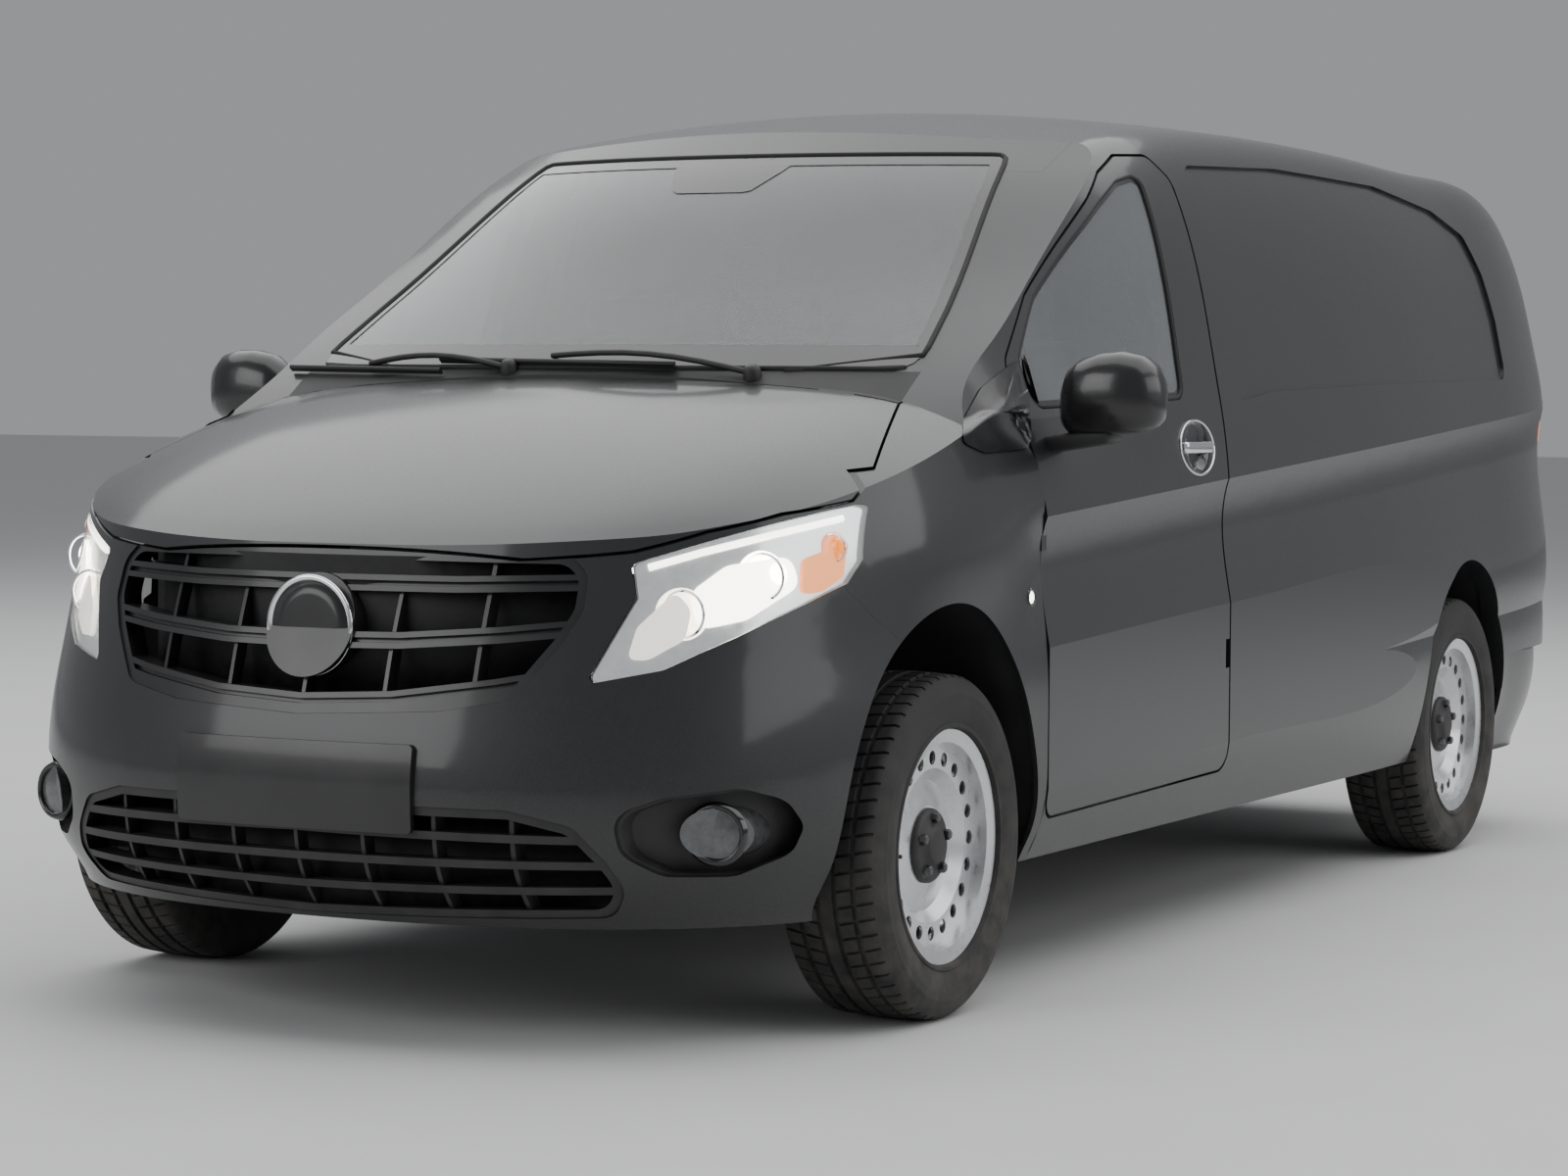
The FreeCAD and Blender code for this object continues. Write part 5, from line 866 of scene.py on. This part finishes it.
def make_handle(name, body, skin, x, sign, sunk):
    """An oval dark bowl with a bright ring and a grip across it, sunk where the panel is."""
    z = HANDLE_HEIGHT
    middle, slope_x, slope_z = panel_plane(skin, x, z, sign)

    def place(dx, dz):
        inward = max(1 - math.hypot(dx, dz) / (HANDLE_RADIUS * BOWL_EDGE_SHARE), 0)
        depth = sunk * min(inward * BOWL_STEEPNESS, 1)
        y = middle.y + slope_x * dx + slope_z * dz + sign * (HANDLE_LIFT - depth)
        return Vector((x + dx, y, z + dz))

    points = []
    for ring in range(HANDLE_RINGS):
        share = 1 - ring / HANDLE_RINGS
        for k in range(HANDLE_POINTS):
            turn = 2 * math.pi * k / HANDLE_POINTS
            points.append(place(HANDLE_REACH * share * math.cos(turn), HANDLE_RADIUS * share * math.sin(turn)))
    points.append(place(0, 0))
    piece(f"{name}_bowl", points, disc_faces(HANDLE_RINGS, HANDLE_POINTS), "plastic_gloss", body)
    tube(f"{name}_ring", points[:HANDLE_POINTS], HANDLE_RING_RADIUS, "chrome", body, closed=True)
    reach = HANDLE_RADIUS * GRIP_REACH_SHARE
    spot = place(reach, 0) + Vector((-reach, sign * GRIP_LIFT, 0))
    soft_box(f"{name}_grip", spot - GRIP_HALF, spot + GRIP_HALF, GRIP_ROUND, "chrome", body)


# Sections of the mirror's head outwards: place across, middle ahead and up, half depth and half height
MIRROR_STATIONS = (
    (0.949, 1.168, 1.192, 0.012, 0.016), (0.953, 1.168, 1.196, 0.034, 0.046),
    (0.966, 1.168, 1.204, 0.050, 0.066), (0.995, 1.168, 1.213, 0.062, 0.079),
    (1.040, 1.168, 1.219, 0.069, 0.0845), (1.085, 1.166, 1.221, 0.070, 0.084),
    (1.125, 1.162, 1.219, 0.064, 0.077), (1.150, 1.158, 1.214, 0.051, 0.062),
    (1.162, 1.155, 1.208, 0.034, 0.042), (1.1662, 1.154, 1.205, 0.012, 0.016),
)
MIRROR_POINTS = 36
MIRROR_FLATNESS_SHARE = 0.60
MIRROR_POWER = 0.78
MIRROR_GLASS = ((1.120, 0.985, 1.164), (1.129, 1.126, 1.274))
MIRROR_GLASS_ROUND = 0.004
MIRROR_FOOT = ((1.118, 0.905, 1.108), (1.196, 1.060, 1.142))
MIRROR_FOOT_ROUND = 0.012
MIRROR_FOOT_TURN = 0.16


def rounded_power(value, power):
    return math.copysign(abs(value) ** power, value)


def on_side(corner, sign):
    """A corner given for the left side, on the side that sign names."""
    x, y, z = corner
    return Vector((x, y * sign, z))


def mirror_head(body, side, sign):
    """The mirror's rounded head, flatter behind."""
    points = []
    for y, x_mid, z_mid, deep, tall in MIRROR_STATIONS:
        for k in range(MIRROR_POINTS):
            turn = 2 * math.pi * k / MIRROR_POINTS
            c = rounded_power(math.cos(turn), MIRROR_POWER)
            s = rounded_power(math.sin(turn), MIRROR_POWER)
            reach = deep if c > 0 else deep * MIRROR_FLATNESS_SHARE
            points.append((x_mid + reach * c, sign * y, z_mid + tall * s))
    count = len(MIRROR_STATIONS)
    faces = grid_faces(count, MIRROR_POINTS, False, True)
    faces.append(tuple(range(MIRROR_POINTS)))
    faces.append(tuple(range((count - 1) * MIRROR_POINTS, count * MIRROR_POINTS)))
    return piece(f"mirror_head_{side}", points, faces, "mirror_black", body, slot="black_plastic")


def make_mirror(side, sign):
    """The mirror's head, glass and foot, in the place of the plain one."""
    body = f"door_{side}"
    turn = Matrix.Rotation(MIRROR_FOOT_TURN * sign, 3, "X")
    glass_corners = [on_side(corner, sign) for corner in MIRROR_GLASS]
    foot_corners = [on_side(corner, sign) for corner in MIRROR_FOOT]
    head = mirror_head(body, side, sign)
    glass = soft_box(f"mirror_glass_{side}", *glass_corners, MIRROR_GLASS_ROUND, "mirror_glass", body)
    foot = soft_box(f"mirror_foot_{side}", *foot_corners, MIRROR_FOOT_ROUND, "plastic", body, turn,
                    slot="black_plastic")
    for made in (head, glass, foot):
        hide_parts(f"mirror_{side}")


for side, sign in SIDES:
    make_pillar_patch(side, sign)
    make_handle(f"door_handle_{side}", f"door_{side}", Skin(f"door_{side}"), HANDLE_X, sign, DOOR_BOWL_DEPTH)
    make_mirror(side, sign)
make_handle("slider_handle", "body", Skin("sliding_door"), SLIDER_HANDLE_X, -1, SLIDER_BOWL_DEPTH)


# Rear end

LAMP_SKIN = Skin("tail_lamps")
# Lower and upper edge and finish of the bands in a tail lamp
LAMP_BANDS = ((1.145, 1.200, "tail_clear"), (1.085, 1.140, "amber"))
BAND_FRONT = -2.390
BAND_LENGTH = 0.075
BAND_STEPS = 10
BAND_LIFT = 0.0012


def make_tail_bands(side, sign):
    """The clear and amber parts of a tail lamp, wrapped round the corner."""
    for k, (low, top, material) in enumerate(LAMP_BANDS):
        points = []
        for i in range(BAND_STEPS + 1):
            x = BAND_FRONT - BAND_LENGTH * i / BAND_STEPS
            points += [LAMP_SKIN.side(x, z, sign, BAND_LIFT) for z in (low, (low + top) / 2, top)]
        piece(f"tail_band_{k}_{side}", points, grid_faces(BAND_STEPS + 1, 3), material, slot="tail_red")


REAR_DOORS = Skin("rear_door_left", "rear_door_right")
REAR = Skin("roof", "rear_door_left", "rear_door_right")
PLATE_LOW = 0.800
PLATE_TOP = 0.935
PLATE_HALF = 0.270
DOOR_LINE_HALF = 0.008
PLATE_ROUND = 0.006
STRIP_RISE = 0.022
STRIP_LIFT = 0.003
PLATE_STRIP_RADIUS = 0.010
LINE_STEPS = 8
GRIP_CENTRE = (-0.055, 1.045)
# Name, corners from the door's face, rounding and finish
GRIP_BLOCKS = (
    ("rear_grip_plate", Vector((-0.008, -0.034, -0.048)), Vector((0.004, 0.034, 0.048)), 0.006, "plastic"),
    ("rear_grip", Vector((-0.016, -0.012, -0.040)), Vector((0.0, 0.012, 0.040)), 0.005, "chrome"),
)
BRAKE_LIGHT_HALF = 0.15
BRAKE_LIGHT_HEIGHT = 1.800
BRAKE_LIGHT_LIFT = 0.002
BRAKE_LIGHT_RADIUS = 0.009


def rear_line(skin, y_from, y_to, z, lift):
    """Points across the rear end at one height."""
    return [skin.rear(y_from + (y_to - y_from) * k / LINE_STEPS, z, lift) for k in range(LINE_STEPS + 1)]


def make_rear_details():
    """The bare plate field, the strip over it and the grip on the rear doors, and the brake light above."""
    for side, y0, y1 in (("left", DOOR_LINE_HALF, PLATE_HALF), ("right", -PLATE_HALF, -DOOR_LINE_HALF)):
        body = f"rear_door_{side}"
        corners = ((y0, PLATE_LOW), (y1, PLATE_LOW), (y1, PLATE_TOP), (y0, PLATE_TOP))
        patch(f"plate_field_{side}", corners, PLATE_ROUND, lambda y, z: REAR_DOORS.rear(y, z, LIFT), "plastic",
              body)
        strip = rear_line(REAR_DOORS, y0, y1, PLATE_TOP + STRIP_RISE, STRIP_LIFT)
        tube(f"plate_strip_{side}", strip, PLATE_STRIP_RADIUS, "plastic", body)
    face = REAR_DOORS.rear(*GRIP_CENTRE)
    for name, low, high, radius, material in GRIP_BLOCKS:
        soft_box(name, face + low, face + high, radius, material, "rear_door_right")
    bar = rear_line(REAR, -BRAKE_LIGHT_HALF, BRAKE_LIGHT_HALF, BRAKE_LIGHT_HEIGHT, BRAKE_LIGHT_LIFT)
    tube("high_brake_light", bar, BRAKE_LIGHT_RADIUS, "tail_red")


for side, sign in SIDES:
    make_tail_bands(side, sign)
make_rear_details()


# Cab: the dashboard's hood, vents and screen, and the steering wheel's pad

DASH = Skin("dashboard")
# Name, place on the dashboard, corners of the block from there, its rounding, finish and tilt
DASH_BLOCKS = (
    ("instrument_hood", (0.985, 0.385), Vector((-0.045, -0.17, -0.02)), Vector((0.075, 0.17, 0.055)), 0.028,
     "plastic_trim", 0.0),
    ("middle_screen", (0.975, 0.0), Vector((-0.02, -0.12, -0.03)), Vector((0.006, 0.12, 0.085)), 0.008,
     "plastic_gloss", 0.25),
)
VENT_PLACES = (-0.72, -0.16, 0.16, 0.66)
VENT_EYE_X = 0.2
VENT_HEIGHT = 1.02
VENT = (Vector((-0.006, -0.055, -0.028)), Vector((0.01, 0.055, 0.028)), 0.01)
VENT_BLADE = (Vector((-0.0085, -0.046, -0.0016)), Vector((-0.004, 0.046, 0.0016)), 0.001)
VENT_BLADES = 4
VENT_BLADE_LOW = -0.018
VENT_BLADE_STEP = 0.012
COLUMN_AXIS = Vector((-0.809, 0, 0.588))
WHEEL_CENTRE = Vector((0.905, 0.385, 1.075))
PAD_DEPTH = 0.01
PAD_PROFILE = ((0.0, 0.030), (0.045, 0.028), (0.075, 0.018), (0.085, 0.0), (0.07, -0.02))


def make_vent(k, y):
    """One air vent with its blades."""
    face = DASH.hit((VENT_EYE_X, y, VENT_HEIGHT), AHEAD)[0]
    low, high, radius = VENT
    soft_box(f"vent_{k}", face + low, face + high, radius, "plastic")
    low, high, radius = VENT_BLADE
    for j in range(VENT_BLADES):
        middle = face + Vector((0, 0, VENT_BLADE_LOW + VENT_BLADE_STEP * j))
        soft_box(f"vent_blade_{k}_{j}", middle + low, middle + high, radius, "plastic_trim")


def make_cab():
    """Instrument hood, middle screen, vents and the wheel's centre."""
    for name, (x, y), low, high, radius, material, tilt in DASH_BLOCKS:
        top = DASH.hit((x, y, FAR), (0, 0, -1))[0]
        soft_box(name, top + low, top + high, radius, material, turn=Matrix.Rotation(tilt, 3, "Y"))
    for k, y in enumerate(VENT_PLACES):
        make_vent(k, y)
    lathe("wheel_pad", PAD_PROFILE, WHEEL_CENTRE - COLUMN_AXIS * PAD_DEPTH, COLUMN_AXIS, "plastic_trim",
          "steering_wheel")


make_cab()


# Seats: cushions with rounded sides, rolled edges and sewn channels

PILLOW_CELLS = 22
PINCH = 0.006
ROLL_POWER = 4
ROLL_END_POWER = 12
# The axis across each channel sewn into a seat (0 along, 1 across), its place, half width and depth
CHANNEL_LINES = ((1, -0.55, 0.035, 0.010), (1, 0.55, 0.035, 0.010), (0, 0.1, 0.03, 0.007))
SEAT_SIDE_GAP = 0.004
SEAT_ROLL = 0.012
SEAT_CROWN = 0.018
BACK_TURN = math.radians(10 - 90)
CUSHION_TURN = math.radians(-3)
# Centre ahead and up, half length and half thickness, and rounding
CUSHION = (0.622, 0.748, 0.255, 0.066, 0.05)
BACK = (0.318, 1.065, 0.275, 0.054, 0.045)
HEADREST_PLACE = (0.255, 1.395)
HEADREST_HALF = (0.058, 0.125, 0.036)
HEADREST_ROUND = 0.03
HEADREST_CROWN = 0.006
# Each seat's place across, its width and its headrests' places
SEATS = {
    "driver": (0.385, 0.5, {"driver": 0.385}),
    "bench": (-0.39, 0.8, {"bench_right": -0.59, "bench_left": -0.19}),
}


def pillow_point(p, half, radius, crown):
    """A point of a rounded block from a point of the unit cube, crowned on its large faces."""
    core = Vector([min(max(p[i] * half[i], radius - half[i]), half[i] - radius) for i in range(3)])
    out = Vector([p[i] * half[i] for i in range(3)]) - core
    q = core + (out.normalized() * radius if out.length > TINY else out)
    u, v, w = p
    q.z += crown * (1 - u * u) * (1 - v * v) * w
    waist = PINCH * (1 - w * w)
    q.x -= waist * u * (1 - v * v)
    q.y -= waist * v * (1 - u * u)
    return q


def sewn(p, q, channels, roll):
    """A point of a pillow's top with its channels sewn in and its sides rolled up."""
    for axis, place, width, depth in channels:
        q.z -= depth * math.exp(-((p[axis] - place) / width) ** 2) * p[2]
    q.z += roll * abs(p[1]) ** ROLL_POWER * (1 - abs(p[1]) ** ROLL_END_POWER) * p[2]
    return q


def pillow(name, centre, half, radius, turn, crown=SEAT_CROWN, channels=CHANNEL_LINES, roll=SEAT_ROLL):
    """One padded piece, in the place of the plain seats."""
    points = []
    faces = []
    cells = PILLOW_CELLS
    for axis in range(3):
        for sign in (-1, 1):
            base = len(points)
            for i in range(cells + 1):
                for j in range(cells + 1):
                    p = [0, 0, 0]
                    p[axis] = sign
                    p[(axis + 1) % 3] = -1 + 2 * i / cells
                    p[(axis + 2) % 3] = -1 + 2 * j / cells
                    q = pillow_point(p, half, radius, crown)
                    if p[2] > 0:
                        q = sewn(p, q, channels, roll)
                    points.append(centre + turn @ q)
            faces += [tuple(base + k for k in f) for f in grid_faces(cells + 1, cells + 1)]
    made = piece(name, points, faces, "cloth", slot="seat_cloth")
    made.modifiers.new("smooth", "SUBSURF").render_levels = 1
    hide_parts("seats")


def make_seat(tag, y, width, headrests):
    """A cushion, a leaning back and the headrests."""
    leaning = Matrix.Rotation(BACK_TURN, 3, "Y")
    level = Matrix.Rotation(CUSHION_TURN, 3, "Y")
    for name, turn, (x, z, half_length, half_thickness, radius) in (("cushion", level, CUSHION),
                                                                     ("back", leaning, BACK)):
        half = (half_length, width / 2 - SEAT_SIDE_GAP, half_thickness)
        pillow(f"seat_{name}_{tag}", Vector((x, y, z)), half, radius, turn)
    x, z = HEADREST_PLACE
    for head_tag, place in headrests.items():
        pillow(f"headrest_{head_tag}", Vector((x, place, z)), HEADREST_HALF, HEADREST_ROUND, leaning,
               crown=HEADREST_CROWN, channels=(), roll=0)


for tag, (y, width, headrests) in SEATS.items():
    make_seat(tag, y, width, headrests)


# Camera, floor and light

SENSOR = 36.0
FAR_CLIP = 200.0
FLOOR_HALF = 60.0
FLOOR_GREY = (0.62, 0.62, 0.62)
SKY = (0.80, 0.82, 0.85, 1.0)
SKY_STRENGTH = 0.40
# Name, place, the point it faces, width, height and power in watts
LIGHTS = (
    ("over", (-2.0, 0.0, 8.0), (-1.0, 0.0, 0.0), 20.0, 14.0, 1500.0),
    ("ahead", (10.0, -4.0, 4.2), (1.5, 0.0, 0.9), 7.0, 5.0, 330.0),
    ("beside", (-1.0, 10.0, 4.0), (0.0, 0.5, 0.9), 12.0, 4.0, 300.0),
)


def make_camera():
    camera = bpy.data.cameras.new("camera")
    camera.sensor_width = SENSOR
    camera.lens = CAMERA_FOCUS * SENSOR / PICTURE_WIDTH
    camera.clip_end = FAR_CLIP
    made = bpy.data.objects.new("camera", camera)
    bpy.context.scene.collection.objects.link(made)
    ahead, right, up = camera_axes()
    turn = Matrix((right, up, -ahead)).transposed()
    made.matrix_world = Matrix.Translation(CAMERA_PLACE) @ turn.to_4x4()
    bpy.context.scene.camera = made


def area_light(name, place, target, width, height, power):
    light = bpy.data.lights.new(name, "AREA")
    light.shape = "RECTANGLE"
    light.size = width
    light.size_y = height
    light.energy = power
    made = bpy.data.objects.new(name, light)
    bpy.context.scene.collection.objects.link(made)
    made.location = place
    made.rotation_euler = (Vector(target) - Vector(place)).to_track_quat("-Z", "Y").to_euler()


def make_stage():
    """The pale floor, the even sky and the three soft lights."""
    mesh = bpy.data.meshes.new("floor_plane")
    corners = [(x * FLOOR_HALF, y * FLOOR_HALF, 0) for x, y in ((-1, -1), (1, -1), (1, 1), (-1, 1))]
    mesh.from_pydata(corners, [], [(0, 1, 2, 3)])
    floor = bpy.data.objects.new("floor_plane", mesh)
    bpy.context.scene.collection.objects.link(floor)
    finish("stage_floor", FLOOR_GREY, 0.75, mottle=2.0, contrast=0.02)
    mesh.materials.append(MATERIALS["stage_floor"])
    world = bpy.data.worlds.new("studio")
    bpy.context.scene.world = world
    world.use_nodes = True
    background = world.node_tree.nodes["Background"]
    background.inputs["Color"].default_value = SKY
    background.inputs["Strength"].default_value = SKY_STRENGTH
    for light in LIGHTS:
        area_light(*light)


make_camera()
make_stage()
